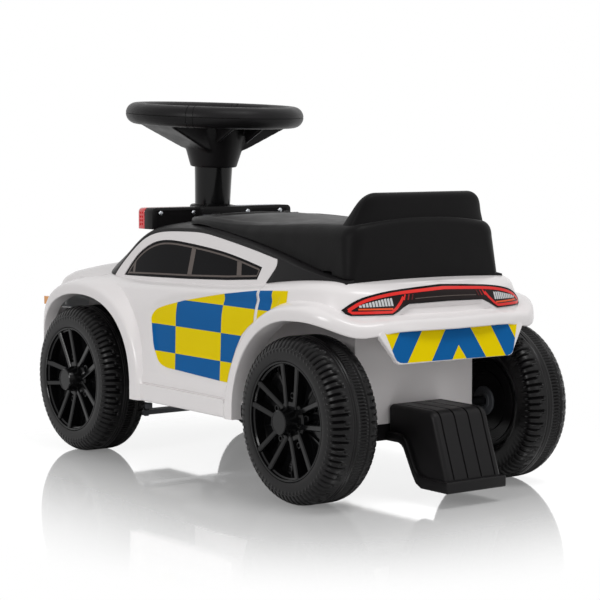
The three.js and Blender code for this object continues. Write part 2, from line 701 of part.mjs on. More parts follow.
function rimHalf(way) {
  const steps = 5;
  const profile = Array.from({ length: steps + 1 }, (_, i) => {
    const angle = (Math.PI * i) / steps;
    const lift = way * (fitGap / 2 + (rimTubeRadius - fitGap / 2) * Math.sin(angle));
    return [rimCircle + rimTubeRadius * Math.cos(angle), lift];
  });
  return turnedUpright(profile, wheelRimSteps);
}
const lowerHub = turnedUpright([
  [0, padSeatZ - spokePlay], [hubTopRadius, padSeatZ - spokePlay], [hubTopRadius, hubTopZ],
  [hubFootRadius, hubFootZ], [columnRadius + fitGap, hubFootZ], [columnRadius + fitGap, columnTopZ],
  [rodBore, columnTopZ], [rodBore, columnTopZ + rodSocket], [0, columnTopZ + rodSocket],
], roundSteps);
const spokeLevelY = rimCircle - rimTubeRadius - spokeLevelInset;
const lowerSpoke = polygon([
  [hubFootRadius - 4, hubTopZ - spokeDrop], [rimCircle - 6, -rimTubeRadius + 0.6],
  [rimCircle, -rimTubeRadius + 3],
  [spokeLevelY, -spokePlay], [hubTopRadius + 4, padSeatZ - spokePlay],
  [hubFootRadius - 4, padSeatZ - spokePlay],
]);
const leftLowerSpoke = slab(lowerSpoke, 'yz', -spokeHalfWidth, spokeHalfWidth);
const columnRoom = rod([0, 0, hubFootZ - 5], [0, 0, columnTopZ], columnRadius + fitGap, roundSteps);
addPiece('steering_wheel_lower', cutBy(
  joined(rimHalf(-1), lowerHub, leftLowerSpoke, mirrored(leftLowerSpoke)), columnRoom,
  rod([0, 0, hubFootZ], [0, 0, columnTopZ + rodSocket], rodBore, roundSteps)), blackSatin, steering);

const pad = turnedUpright([
  [0, padSeatZ], [hubTopRadius + 4, padSeatZ], [hubTopRadius + 6, wheelPadTopZ - 4],
  [hubTopRadius, wheelPadTopZ], [0, wheelPadTopZ],
], roundSteps);
const upperSpoke = polygon([
  [hubTopRadius - 4, padSeatZ], [hubTopRadius + 4, padSeatZ], [spokeLevelY, fitGap / 2],
  [rimCircle, fitGap / 2], [rimCircle, 6], [rimCircle - rimTubeRadius, 6],
  [hubTopRadius + 8, wheelPadTopZ - 2], [hubTopRadius - 4, wheelPadTopZ - 2],
]);
const leftUpperSpoke = slab(upperSpoke, 'yz', -spokeHalfWidth + 2, spokeHalfWidth - 2);
const driverSpoke = moved(leftUpperSpoke, new THREE.Matrix4().makeRotationZ(Math.PI / 2));
const hornWell = rod([0, 0, hornFloorZ], [0, 0, wheelPadTopZ + 5], hornRadius + fitGap, roundSteps);
addPiece('steering_wheel_upper', cutBy(
  joined(rimHalf(1), pad, leftUpperSpoke, mirrored(leftUpperSpoke), driverSpoke), hornWell), blackSatin,
steering);
const hornLowZ = hornFloorZ + hornTravel + fitGap;
addPiece('horn_button', turnedUpright([
  [0, hornLowZ], [hornRadius, hornLowZ], [hornRadius, wheelPadTopZ + hornProud - 1.5],
  [hornRadius - 3, wheelPadTopZ + hornProud], [0, wheelPadTopZ + hornProud + 0.5],
], roundSteps), blackGloss, steering);

// Steering rod: steel core of the column with a crank at its foot, under the tray
const crankTopZ = trayBottomZ - armDrop;
const crankLowZ = crankTopZ - armThickness;
const tieTopZ = crankLowZ - linkDrop;
const tieLowZ = tieTopZ - tieRodThickness;
const localZ = (z) => (z - steeringZ) / Math.cos(columnTilt);
const crankWeb = block(
  -crankRadius - 5, rodRadius, -rodRadius, rodRadius, localZ(crankLowZ), localZ(crankTopZ));
addPiece('steering_rod', joined(
  rod([0, 0, localZ(crankLowZ)], [0, 0, columnTopZ + rodSocket - fitGap], rodRadius, 12),
  crankWeb, rod([-crankRadius, 0, localZ(tieLowZ) - 2], [-crankRadius, 0, localZ(crankLowZ) + 1],
    linkPinRadius, 8)), steel, steering);

// Front knuckles: king pin, stub axle and steering arm in one
const boreRadius = (axleRadius + axleClearance) / Math.cos(Math.PI / smallRoundSteps);
const axleEndY = wheelCentreY + rimFaceY + nutHeight;
const armX = wheelbase - steeringArm;
const pinTopZ = lugGap / 2 + lugThickness + 2;
const upright = (x, lowZ, highZ, radius) => {
  return rod([x, kingPinY, lowZ], [x, kingPinY, highZ], radius, smallRoundSteps);
};
const leftKnuckle = joined(
  upright(wheelbase, -lugGap / 2 + fitGap, lugGap / 2 - fitGap, kingPinBoss),
  upright(wheelbase, crankLowZ, pinTopZ, kingPinRadius),
  rod([wheelbase, kingPinY, 0], [wheelbase, axleEndY, 0], axleRadius, smallRoundSteps),
  block(armX, wheelbase, kingPinY - kingPinRadius, kingPinY + kingPinRadius, crankLowZ, crankTopZ),
  upright(wheelbase, crankLowZ, crankTopZ, kingPinBoss - 1),
  upright(armX, crankLowZ, crankTopZ, kingPinBoss - 2),
  upright(armX, tieLowZ - 2, crankTopZ, linkPinRadius));
addPiece('left_knuckle', leftKnuckle, steel);
addPiece('right_knuckle', mirrored(leftKnuckle), steel);

// Tie rod: a flat link with slots for the arm pins and a tongue for the crank pin
function slotAt(x, y, travel) {
  const radius = linkPinRadius + linkClearance;
  const points = [];
  for (let i = 0; i < 12; i += 1) {
    const angle = (2 * Math.PI * i) / 12;
    const shift = Math.cos(angle) > 0 ? travel : 0;
    points.push([x + shift + radius * Math.cos(angle), y + radius * Math.sin(angle)]);
  }
  return slab(polygon(points), 'xy', tieLowZ - 5, tieTopZ + 5);
}
const crankX = steeringAxisX(crankLowZ) - crankRadius;
const tieEndY = kingPinY + tieRodWidth / 2 + 2;
const tieBar = block(armX - tieRodWidth / 2, armX + tieRodWidth / 2, -tieEndY, tieEndY, tieLowZ, tieTopZ);
const tieTongue = block(
  crankX - tieRodWidth / 2 - 2, armX, -tieRodWidth / 2, tieRodWidth / 2, tieLowZ, tieTopZ);
addPiece('tie_rod', cutBy(joined(tieBar, tieTongue), slotAt(armX, kingPinY, armSwing),
  slotAt(armX, -kingPinY, armSwing), slotAt(crankX, 0, crankSwing)), blackSatin);

// Chassis tray: a pan with a proud rim, axle lugs and the clevises of the king pins
const trayTopZ = sillBottomZ - fitGap;
const trayRearX = tubRearX;
const trayPlan = (grow) => polygon([
  [trayRearX - grow, -trayHalf - grow], [trayNeckX + grow, -trayHalf - grow],
  [trayNeckX + 25, -trayNoseHalf - grow], [trayFrontX + grow, -trayNoseHalf - grow],
  [trayFrontX + grow, trayNoseHalf + grow], [trayNeckX + 25, trayNoseHalf + grow],
  [trayNeckX + grow, trayHalf + grow], [trayRearX - grow, trayHalf + grow],
]);
const trayPan = cutBy(
  joined(slab(trayPlan(0), 'xy', trayBottomZ, trayTopZ),
    cutBy(slab(trayPlan(trayRimProud), 'xy', trayBottomZ, trayBottomZ + trayRim),
      block(trayRearX - 50, trayRearX, -outerHalf, outerHalf, belowBody, farAway))),
  slab(trayPlan(-trayWall), 'xy', trayBottomZ + trayWall, farAway));
const axleLug = (y) => joined(
  rod([0, y - axleLugWidth / 2, 0], [0, y + axleLugWidth / 2, 0], axleLugRadius, smallRoundSteps),
  block(-axleLugRadius + 1, axleLugRadius - 1, y - axleLugWidth / 2, y + axleLugWidth / 2,
    trayBottomZ + 1, 0));
const kingLug = (z) => joined(
  rod([wheelbase, kingPinY, z], [wheelbase, kingPinY, z + lugThickness], lugRadius, smallRoundSteps),
  block(wheelbase - lugRadius, wheelbase + lugRadius, trayNoseHalf - 8, kingPinY, z, z + lugThickness));
const lowerLugZ = -lugGap / 2 - lugThickness;
const leftClevis = joined(
  block(wheelbase - lugRadius, wheelbase + lugRadius, trayNoseHalf - 8, trayNoseHalf + 6, lowerLugZ,
    lugGap / 2 + lugThickness), kingLug(lowerLugZ), kingLug(lugGap / 2));
const pinBore = upright(wheelbase, belowBody, farAway, kingPinRadius + axleClearance);
const columnBore = onSteeringAxis(
  rod([0, 0, localZ(trayBottomZ) - 10], [0, 0, localZ(0)], rodRadius + 2 * fitGap, 12));
addPiece('chassis_tray', cutBy(
  joined(trayPan, axleLug(axleLugY), axleLug(-axleLugY), leftClevis, mirrored(leftClevis)),
  rod([0, -outerHalf, 0], [0, outerHalf, 0], boreRadius, smallRoundSteps),
  pinBore, mirrored(pinBore), columnBore), blackSatin);

// Storage tub: an open box on the tray, its floor above the rear axle
const tubRoom = (lowZ, highZ) => block(
  tubRearX + tubWall, tubFrontX - tubWall, -tubHalf + tubWall, tubHalf - tubWall, lowZ, highZ);
const tubWalls = cutBy(
  block(tubRearX, tubFrontX, -tubHalf, tubHalf, sillBottomZ, farAway),
  tubRoom(binFloorZ, farAway + 5), tubRoom(belowBody, binFloorZ - tubWall),
  block(-axleRadius - 2, axleRadius + 2, -outerHalf, outerHalf, belowBody, axleRadius + 2));
addPiece('storage_tub', tubWalls.intersect(greenhouseForm(roofWall + fitGap, belowBody)), whiteShell);

// Anti-tip foot: a hollow grooved step behind the tray, open below, with a thick rim
const footFrontX = trayRearX - fitGap;
const footTop = [[footFrontX, 9.5], [-76, 9], [-82, 2.4], [footRearX + 4, footBottomZ + 13]];
const footUnder = [[footRearX + 4, footBottomZ], [-66, footBottomZ], [-55, footBottomZ + 8], [-40, -31],
  [-32, trayBottomZ], [footFrontX, trayBottomZ]];
const footRimTop = [[footFrontX, trayBottomZ + trayRim], [-34.5, trayBottomZ + trayRim], [-42, -22.6],
  [-56, footBottomZ + 19], [-70, footBottomZ + 11.5], [footRearX, footBottomZ + 11]];
const footBox = slab(polygon([...footTop, ...footUnder]), 'xz', -footHalf, footHalf);
const footRim = slab(polygon([...footRimTop, [footRearX, footBottomZ], ...footUnder.slice(1)]), 'xz',
  -footHalf - trayRimProud, footHalf + trayRimProud);
const footInside = slab(polygon([
  [footFrontX - footWall, 9.5 - footWall], [-76, 9 - footWall], [-82 + footWall, 2],
  [footRearX + 4 + footWall, footBottomZ + 13], [footRearX + 4 + footWall, belowBody],
  [footFrontX - footWall, belowBody],
]), 'xz', -footHalf + footWall, footHalf - footWall);
const footGrooves = [-0.75, -0.25, 0.25, 0.75].map((share) => {
  const middle = share * footHalf;
  const cut = footTop.slice(1).map(([x, z]) => [x + footGrooveDepth, z - footGrooveDepth]);
  return slab(polygon([...cut, [footRearX - 9, footBottomZ + 13], [footRearX - 9, 30], [-76, 30]]), 'xz',
    middle - footGrooveWidth / 2, middle + footGrooveWidth / 2);
});
addPiece('anti_tip_foot', cutBy(joined(footBox, footRim), footInside, ...footGrooves), blackSatin);

// Rear axle
addPiece('rear_axle', rod([0, -axleEndY, 0], [0, axleEndY, 0], axleRadius, smallRoundSteps), steel);

// Wheels, drawn with their outer side towards +y
const tyreHalf = wheelWidth / 2;
const tyreSteps = 2 * treadNotches;
const rimSeat = (rimRadius + fitGap) / Math.cos(Math.PI / tyreSteps);
const tyreProfile = [
  [bushRadius + fitGap, webInnerY], [rimRadius - 11, webInnerY], [rimRadius - 8, -tyreHalf + 2.5],
  [wheelRadius - 9, -tyreHalf], [wheelRadius - 1.3, -tyreHalf + 7], [wheelRadius, -tyreHalf + 12.5],
  [wheelRadius, tyreHalf - 12.5], [wheelRadius - 1.3, tyreHalf - 7], [wheelRadius - 9, tyreHalf],
  [rimSeat, tyreHalf],
  [rimSeat, webInnerY + webThickness], [bushRadius + fitGap, webInnerY + webThickness],
];
const shoulderReach = wheelRadius - 2;
const tyreRings = Array.from({ length: tyreSteps + 1 }, (_, i) => {
  const angle = (2 * Math.PI * (i % tyreSteps)) / tyreSteps - Math.PI / 2;
  const notch = i % 2 === 0 ? 0 : notchDepth;
  return tyreProfile.map(([radius, y]) => {
    const atShoulder = radius > shoulderReach && radius < wheelRadius;
    const reach = atShoulder ? radius - notch : radius;
    return [reach * Math.cos(angle), y, reach * Math.sin(angle)];
  });
});
const tyre = loft(tyreRings, false);

// Rim: spokes in pairs between hub and lip, as a disc with windows
function rimWindow(middle, innerRadius, outerRadius, innerHalf, outerHalfAngle) {
  const at = (radius, angle) => new THREE.Vector2(radius * Math.cos(angle), radius * Math.sin(angle));
  return new THREE.Path([
    at(innerRadius, middle - innerHalf), at(outerRadius, middle - outerHalfAngle),
    at(outerRadius, middle + outerHalfAngle), at(innerRadius, middle + innerHalf),
  ]);
}
const rimDisc = polygon(Array.from({ length: roadRimSteps }, (_, i) => {
  const angle = (2 * Math.PI * i) / roadRimSteps;
  return [(rimRadius - rimLip / 2) * Math.cos(angle), (rimRadius - rimLip / 2) * Math.sin(angle)];
}));
const pairAngle = (2 * Math.PI) / spokePairs;
for (let i = 0; i < spokePairs; i += 1) {
  const middle = i * pairAngle + Math.PI / 2;
  rimDisc.holes.push(rimWindow(middle, hubDiscRadius + 6, rimRadius - rimLip - 3, 0.03, 0.15));
  rimDisc.holes.push(rimWindow(middle + pairAngle / 2, hubDiscRadius, rimRadius - rimLip - 1, 0.12, 0.27));
}
const spokeDisc = slab(rimDisc, 'xz', rimFaceY - spokeThickness, rimFaceY);
const rimRing = turned([
  [rimRadius - rimLip, rimFaceY - spokeThickness], [rimRadius, rimFaceY - spokeThickness],
  [rimRadius, tyreHalf - fitGap], [rimRadius - rimLip + 2, tyreHalf - fitGap],
], roadRimSteps);
const rim = cutBy(joined(spokeDisc, rimRing),
  rod([0, rimFaceY - 30, 0], [0, rimFaceY + 30, 0], boreRadius, smallRoundSteps));
const hubCap = turned([
  [0, capFaceY], [capFaceRadius, capFaceY], [capRadius, capFaceY - 5], [capRadius, rimFaceY + fitGap],
  [capRadius - capWall, rimFaceY + fitGap], [capRadius - capWall, capFaceY - capWall],
  [0, capFaceY - capWall],
], smallRoundSteps + 2);
const bushLowY = webInnerY - bushFlangeThickness - fitGap;
const wheelBush = turned([
  [boreRadius, bushLowY], [bushFlange, bushLowY],
  [bushFlange, webInnerY - fitGap], [bushRadius, webInnerY - fitGap],
  [bushRadius, webInnerY + webThickness + 4], [boreRadius, webInnerY + webThickness + 4],
], smallRoundSteps);
const axleNut = cutBy(
  rod([0, rimFaceY + fitGap, 0], [0, rimFaceY + nutHeight, 0], nutRadius, 6),
  rod([0, rimFaceY - 5, 0], [0, rimFaceY + nutHeight + 5, 0], boreRadius, smallRoundSteps));
const corners = [
  ['front_left', wheelbase, 1], ['front_right', wheelbase, -1], ['rear_left', 0, 1], ['rear_right', 0, -1]];
for (const [corner, x, way] of corners) {
  const wheel = new THREE.Group();
  wheel.position.set(x, way * wheelCentreY, 0);
  wheel.rotation.z = way > 0 ? 0 : Math.PI;
  car.add(wheel);
  addPiece(`${corner}_tyre`, tyre, tyreBlack, wheel);
  addPiece(`${corner}_rim`, rim, blackGloss, wheel);
  addPiece(`${corner}_hub_cap`, hubCap, blackGloss, wheel);
  addPiece(`${corner}_wheel_bush`, wheelBush, bushPlastic, wheel);
  addPiece(`${corner}_axle_nut`, axleNut, steel, wheel);
}

export default rideOnCar;
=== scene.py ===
# %% [markdown]
# # A toddler's police ride-on car
#
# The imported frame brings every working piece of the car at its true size: shell, wheels, steering and seat.
# This lesson dresses it. Curved mouldings are drawn again with fine meshes and ride on the same bodies, and
# the steel and hidden pieces keep their solids and only get a finish. All sizes below are in millimetres,
# counted as on a drawing of the car: x forward from the rear axle, y to the left, z up from the axles.

# %% Load the frame
import json
import math

import bmesh
import bpy
import numpy as np
from mathutils import Matrix, Vector


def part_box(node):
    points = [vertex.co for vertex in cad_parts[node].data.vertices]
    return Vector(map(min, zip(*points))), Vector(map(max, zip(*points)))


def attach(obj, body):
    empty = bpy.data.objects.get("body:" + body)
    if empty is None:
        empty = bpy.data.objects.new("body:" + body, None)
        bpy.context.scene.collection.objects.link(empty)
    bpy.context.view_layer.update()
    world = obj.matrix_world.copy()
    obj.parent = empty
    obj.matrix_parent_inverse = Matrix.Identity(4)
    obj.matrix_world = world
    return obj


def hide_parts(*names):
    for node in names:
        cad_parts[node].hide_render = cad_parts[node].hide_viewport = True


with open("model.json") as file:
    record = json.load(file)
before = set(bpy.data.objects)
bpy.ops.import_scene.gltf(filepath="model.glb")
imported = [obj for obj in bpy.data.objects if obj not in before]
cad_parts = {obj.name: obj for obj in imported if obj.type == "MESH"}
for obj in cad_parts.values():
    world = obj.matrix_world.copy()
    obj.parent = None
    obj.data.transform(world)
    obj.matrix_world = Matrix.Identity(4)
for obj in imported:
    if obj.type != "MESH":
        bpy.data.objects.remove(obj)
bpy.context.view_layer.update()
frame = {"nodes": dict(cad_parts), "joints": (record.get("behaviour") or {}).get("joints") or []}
joints = {joint["name"]: joint for joint in frame["joints"]}
rear_axle_place = joints["rear_left_roll"]["pos_m"]
ORIGIN = np.array([rear_axle_place[0], 0.0, rear_axle_place[2]])
WHEELBASE = 1000 * (joints["front_left_roll"]["pos_m"][0] - rear_axle_place[0])
print("nodes", len(frame["nodes"]), "wheelbase", WHEELBASE)

# %% [markdown]
# A few small helpers carry the whole lesson. A piece is a list of points and faces, so one function turns
# these into a closed object. A loft skins a row of rings, a prism pushes a flat outline along an axis, and a
# carve joins or cuts closed pieces with the boolean modifier and keeps the result as a mesh.

# %% Pieces from points and faces
SIDES = {"left": 1, "right": -1}
CORNERS = [f"{end}_{side}" for end in ("front", "rear") for side in SIDES]


def make_piece(name, points, faces):
    """An object from points in car millimetres."""
    mesh = bpy.data.meshes.new(name)
    mesh.from_pydata((np.array(points, float) / 1000 + ORIGIN).tolist(), [], [list(face) for face in faces])
    piece = bpy.data.objects.new(name, mesh)
    bpy.context.scene.collection.objects.link(piece)
    return piece


def face_out(piece):
    """Turns a closed piece's faces outwards, judged by the sign of its volume."""
    mesh = piece.data
    mesh.calc_loop_triangles()
    points = np.array([v.co for v in mesh.vertices])
    corners = points[np.array([t.vertices for t in mesh.loop_triangles])]
    if np.einsum("ij,ij->", corners[:, 0], np.cross(corners[:, 1], corners[:, 2])) < 0:
        mesh.flip_normals()


def weld(piece, distance=0.01):
    """Merges points that lie together and drops edges left bare, so that a folded end closes."""
    mesh = bmesh.new()
    mesh.from_mesh(piece.data)
    bmesh.ops.remove_doubles(mesh, verts=mesh.verts, dist=distance / 1000)
    bmesh.ops.delete(mesh, geom=[edge for edge in mesh.edges if not edge.link_faces], context="EDGES")
    mesh.to_mesh(piece.data)
    mesh.free()


def solid(name, points, faces, welded=False):
    """A closed piece. A skin whose ends meet without caps is welded shut."""
    piece = make_piece(name, points, faces)
    if welded:
        weld(piece)
    face_out(piece)
    return piece


# %% Lofts, prisms and flat outlines
def loft(rings, capped=True):
    """Points and faces of a skin over equally long closed rings of points."""
    rings = np.array(rings, float)
    count, length = rings.shape[:2]
    faces = []
    for r in range(count - 1):
        for i in range(length):
            j = (i + 1) % length
            faces.append((r * length + i, r * length + j, (r + 1) * length + j, (r + 1) * length + i))
    if capped:
        faces.append(tuple(range(length))[::-1])
        faces.append(tuple(range((count - 1) * length, count * length)))
    return rings.reshape(-1, 3), faces


def whole_ring(left):
    """A cross section from its left half, which ends on the car's middle plane."""
    return np.concatenate([left, (left[:-1] * (1, -1, 1))[::-1]])


AXES = {"xz": (0, 2, 1), "yz": (1, 2, 0), "xy": (0, 1, 2)}


def prism(outline, plane, start, end, name="tool"):
    """A flat outline in the named plane, pushed along the third axis."""
    u, v, w = AXES[plane]
    rings = np.zeros((2, len(outline), 3))
    rings[:, :, u], rings[:, :, v] = np.array(outline, float).T
    rings[0, :, w], rings[1, :, w] = start, end
    return solid(name, *loft(rings))


def rectangle(left, right, low, high):
    return [(left, low), (right, low), (right, high), (left, high)]


def circle(u, v, radius, steps):
    angles = np.linspace(0, 2 * math.pi, steps, endpoint=False)
    return [(u + radius * math.cos(a), v + radius * math.sin(a)) for a in angles]


# %% Cuts, joins and rounded edges
def settle(piece):
    """Replaces a piece's mesh by what its modifiers make of it."""
    graph = bpy.context.evaluated_depsgraph_get()
    made = bpy.data.meshes.new_from_object(piece.evaluated_get(graph))
    piece.modifiers.clear()
    piece.data = made


def carve(piece, tool, how="DIFFERENCE"):
    """Cuts a tool out of a piece, or joins it, and uses the tool up."""
    step = piece.modifiers.new(how, "BOOLEAN")
    step.operation, step.object, step.solver = how, tool, "MANIFOLD"
    settle(piece)
    bpy.data.objects.remove(tool)
    return piece


def twin(piece, name):
    """A loose copy of a piece, to cut it in another way."""
    copy = bpy.data.objects.new(name, piece.data.copy())
    bpy.context.scene.collection.objects.link(copy)
    return copy


def gather(piece, *others):
    """Takes other objects' meshes into one piece, keeping their finishes."""
    bpy.ops.object.select_all(action="DESELECT")
    for part in (piece, *others):
        part.select_set(True)
    bpy.context.view_layer.objects.active = piece
    bpy.ops.object.join()


def soften(piece, width, angle, segments=2):
    """Rounds the edges of a piece that are sharper than an angle, as the radius of a mould does."""
    step = piece.modifiers.new("mould radius", "BEVEL")
    step.width, step.segments, step.limit_method = width / 1000, segments, "ANGLE"
    step.angle_limit = math.radians(angle)

# %% Smooth lines
def smooth_line(points):
    """A cubic curve through (x, value) points as a function of x, level beyond its ends."""
    xs, ys = np.array(points, float).T
    steps, rises = np.diff(xs), np.diff(ys)
    system, known = np.eye(len(xs)), np.zeros(len(xs))
    for i in range(1, len(xs) - 1):
        system[i, i - 1:i + 2] = steps[i - 1], 2 * (steps[i - 1] + steps[i]), steps[i]
        known[i] = 3 * (rises[i] / steps[i] - rises[i - 1] / steps[i - 1])
    bend = np.linalg.solve(system, known)

    def at(x):
        x = np.clip(x, xs[0], xs[-1])
        k = np.clip(np.searchsorted(xs, x) - 1, 0, len(xs) - 2)
        t, h = x - xs[k], steps[k]
        slope = rises[k] / h - h * (2 * bend[k] + bend[k + 1]) / 3
        return ys[k] + slope * t + bend[k] * t**2 + (bend[k + 1] - bend[k]) / (3 * h) * t**3
    return at


def smooth_path(points, spacing):
    """A smooth curve through points of any dimension, resampled at about the given spacing."""
    points = np.array(points, float)
    chords = np.sqrt(np.linalg.norm(np.diff(points, axis=0), axis=1))
    knots = np.concatenate([[0], np.cumsum(chords)])
    lines = [smooth_line(np.stack([knots, column], 1)) for column in points.T]
    fine = np.linspace(0, knots[-1], 40 * len(points))
    dense = np.stack([line(fine) for line in lines], 1)
    run = np.concatenate([[0], np.cumsum(np.linalg.norm(np.diff(dense, axis=0), axis=1))])
    stops = np.linspace(0, run[-1], max(2, int(round(run[-1] / spacing)) + 1))
    return np.stack([np.interp(stops, run, column) for column in dense.T], 1)


# %% [markdown]
# Nearly all of the car is moulded plastic, so the finishes differ in gloss and in the mould's texture. Colours
# are written as sRGB hex, the way a colour chart gives them, and one function turns them to the linear values
# that shaders use. One more function adds a node with its settings and its links, which is all a node tree is.

# %% Colours and nodes
def linear(hex_colour):
    """Linear red, green, blue and alpha of an sRGB hex colour."""
    channels = [int(hex_colour[i:i + 2], 16) / 255 for i in (1, 3, 5)]
    return [c / 12.92 if c <= 0.04045 else ((c + 0.055) / 1.055) ** 2.4 for c in channels] + [1.0]


def add(material, kind, settings=None, links=None):
    """Adds one node. Settings go to sockets or properties, links come from other nodes' outputs."""
    node = material.node_tree.nodes.new(kind)
    for key, value in (settings or {}).items():
        if isinstance(key, int) or key in node.inputs:
            node.inputs[key].default_value = value
        else:
            setattr(node, key, value)
    for key, (source, output) in (links or {}).items():
        material.node_tree.links.new(source.outputs[output], node.inputs[key])
    return node


def per_metre(size):
    """Texture scale for a pattern whose features repeat every so many millimetres."""
    return 1000 / size


# %% [markdown]
# A moulded plastic is one recipe: a colour that drifts a little where the melt cooled, a gloss that varies
# with handling, and the texture of the mould as a bump. Noise gives the sparked texture of a steel mould, and
# cells give the pebbles of a leather grain. Real spark texture is about 0.3 mm, too fine for this picture, so
# it is drawn at about 1 mm. Polished moulds leave only slow waves, 4 mm long in the lenses and 12 to 14 mm in
# the glossy shell. Polypropylene and ABS both reflect with an IOR near 1.5.

# %% The recipe of a moulded plastic
MELT_DRIFT, HANDLING_SPOT = 70, 18


def moulded_plastic(name, colour, shade_colour, gloss, texture, depth, cells=False, coat=0.0, shine=0.5,
                    sheen=0.0):
    """Colour drifts to shade_colour, gloss is the roughness range, texture and depth are in millimetres."""
    material = bpy.data.materials.new(name)
    material.use_nodes = True
    shader = material.node_tree.nodes["Principled BSDF"]
    for socket, value in (("IOR", 1.49), ("Specular IOR Level", shine), ("Sheen Weight", sheen),
                          ("Sheen Roughness", 0.4), ("Coat Weight", coat), ("Coat Roughness", 0.06)):
        shader.inputs[socket].default_value = value
    place = {"Vector": (add(material, "ShaderNodeTexCoord"), "Object")}
    drift = add(material, "ShaderNodeTexNoise", {"Scale": per_metre(MELT_DRIFT), "Detail": 3.0}, place)
    tint = add(material, "ShaderNodeMix", {"data_type": "RGBA", 6: linear(colour), 7: linear(shade_colour)},
               {0: (drift, "Fac")})
    handling = add(material, "ShaderNodeTexNoise", {"Scale": per_metre(HANDLING_SPOT), "Detail": 4.0}, place)
    rough = add(material, "ShaderNodeMapRange", {"From Min": 0.3, "From Max": 0.7, "To Min": gloss[0],
                                                 "To Max": gloss[1]}, {"Value": (handling, "Fac")})
    if cells:
        grain = add(material, "ShaderNodeTexVoronoi", {"Scale": per_metre(texture), "feature": "SMOOTH_F1"}, place)
        height = (grain, "Distance")
    else:
        grain = add(material, "ShaderNodeTexNoise", {"Scale": per_metre(texture), "Detail": 2.0}, place)
        height = (grain, "Fac")
    bump = add(material, "ShaderNodeBump", {"Strength": 1.0, "Distance": depth / 1000}, {"Height": height})
    links = material.node_tree.links
    links.new(tint.outputs[2], shader.inputs["Base Color"])
    links.new(rough.outputs["Result"], shader.inputs["Roughness"])
    links.new(bump.outputs["Normal"], shader.inputs["Normal"])
    return material


# %% Moulded plastics
white_polypropylene = moulded_plastic(
    "glossy white polypropylene", "#ECE8E8", "#E9E5E5", (0.2, 0.26), 14, 0.006, shine=0.4)
satin_polypropylene = moulded_plastic(
    "sparked black polypropylene", "#151415", "#191819", (0.36, 0.46), 1.0, 0.02, shine=0.13)
grained_polyethylene = moulded_plastic(
    "leather-grained black polyethylene", "#080708", "#0B0A0B", (0.44, 0.54), 1.6, 0.05, cells=True,
    shine=0.08, sheen=0.14)
wheel_polyethylene = moulded_plastic(
    "blow-moulded black polyethylene", "#0B0A0B", "#0F0E0F", (0.28, 0.34), 1.4, 0.012, shine=0.18)
gloss_abs = moulded_plastic("polished black ABS", "#09090A", "#0D0D0E", (0.1, 0.16), 12, 0.008, shine=0.22)
grey_nylon = moulded_plastic("grey nylon", "#4A4C50", "#424448", (0.45, 0.55), 1.2, 0.03)
LENS_GLOSS = (0.08, 0.14)
red_acrylic = moulded_plastic("moulded red acrylic", "#D8161F", "#EE2A30", LENS_GLOSS, 4, 0.05, coat=0.6)
blue_acrylic = moulded_plastic("moulded blue acrylic", "#1240A8", "#1C55C4", LENS_GLOSS, 4, 0.05, coat=0.6)
clear_acrylic = moulded_plastic("silvered clear acrylic", "#C9CCCE", "#DADCDE", (0.1, 0.18), 5, 0.04, coat=0.6)
amber_acrylic = moulded_plastic("moulded amber acrylic", "#E08A12", "#EE9C20", (0.1, 0.18), 5, 0.04, coat=0.6)
print("moulded plastics", 10)

# %% [markdown]
# Prints and films are vinyl: flat ink with a faint orange peel under a clear layer. The blue and the yellow
# of the check, the dark window film with its grey printed borders and the inks of the tail lamp are made by
# the same recipe with a smooth surface.

# %% Printed vinyl and inks
PEEL = 0.004


def lamp_ink(name, colour, shade_colour, gloss=(0.12, 0.2), shine=0.12):
    return moulded_plastic(name, colour, shade_colour, gloss, 4, PEEL, shine=shine)


blue_vinyl = moulded_plastic("blue printed vinyl", "#0F5C9C", "#1263A6", (0.28, 0.36), 3, PEEL, shine=0.04)
yellow_vinyl = moulded_plastic("yellow printed vinyl", "#F0D600", "#EACF00", (0.28, 0.36), 3, PEEL, shine=0.04)
window_film = moulded_plastic("black window film", "#0A090B", "#0F0E11", (0.12, 0.2), 5, PEEL, shine=0.04)
border_ink = moulded_plastic("grey-brown border ink", "#5F5652", "#6B625E", (0.2, 0.26), 3, PEEL, shine=0.1)
lamp_red_ink = lamp_ink("red lamp ink", "#E0262B", "#EC3A30")
lamp_red_dim = lamp_ink("thin red lamp ink", "#8E2426", "#9A2A2A")
lamp_red_faint = lamp_ink("faint red lamp ink", "#572022", "#602426")
lamp_amber_ink = lamp_ink("amber lamp ink", "#EE6A2C", "#E8442A")
lamp_smoke = moulded_plastic("smoked lamp film", "#231716", "#171112", (0.1, 0.16), 5, PEEL, shine=0.12)
lamp_black_ink = lamp_ink("black lamp ink", "#0D0B0C", "#141112", (0.14, 0.2))
lamp_silver_ink = lamp_ink("silver lamp ink", "#D9DADB", "#BFC1C3", shine=0.3)
print("vinyls and inks", 11)

# %% [markdown]
# Plated steel is the only metal: bright zinc on the screws, black on the rods. Plating follows the drawn steel
# below it, so fine noise, drawn at 2.5 mm to show at all, varies the gloss. A metal keeps the default IOR.

# %% Plated steel
STEEL_GRAIN, STEEL_RELIEF = 2.5, 0.02


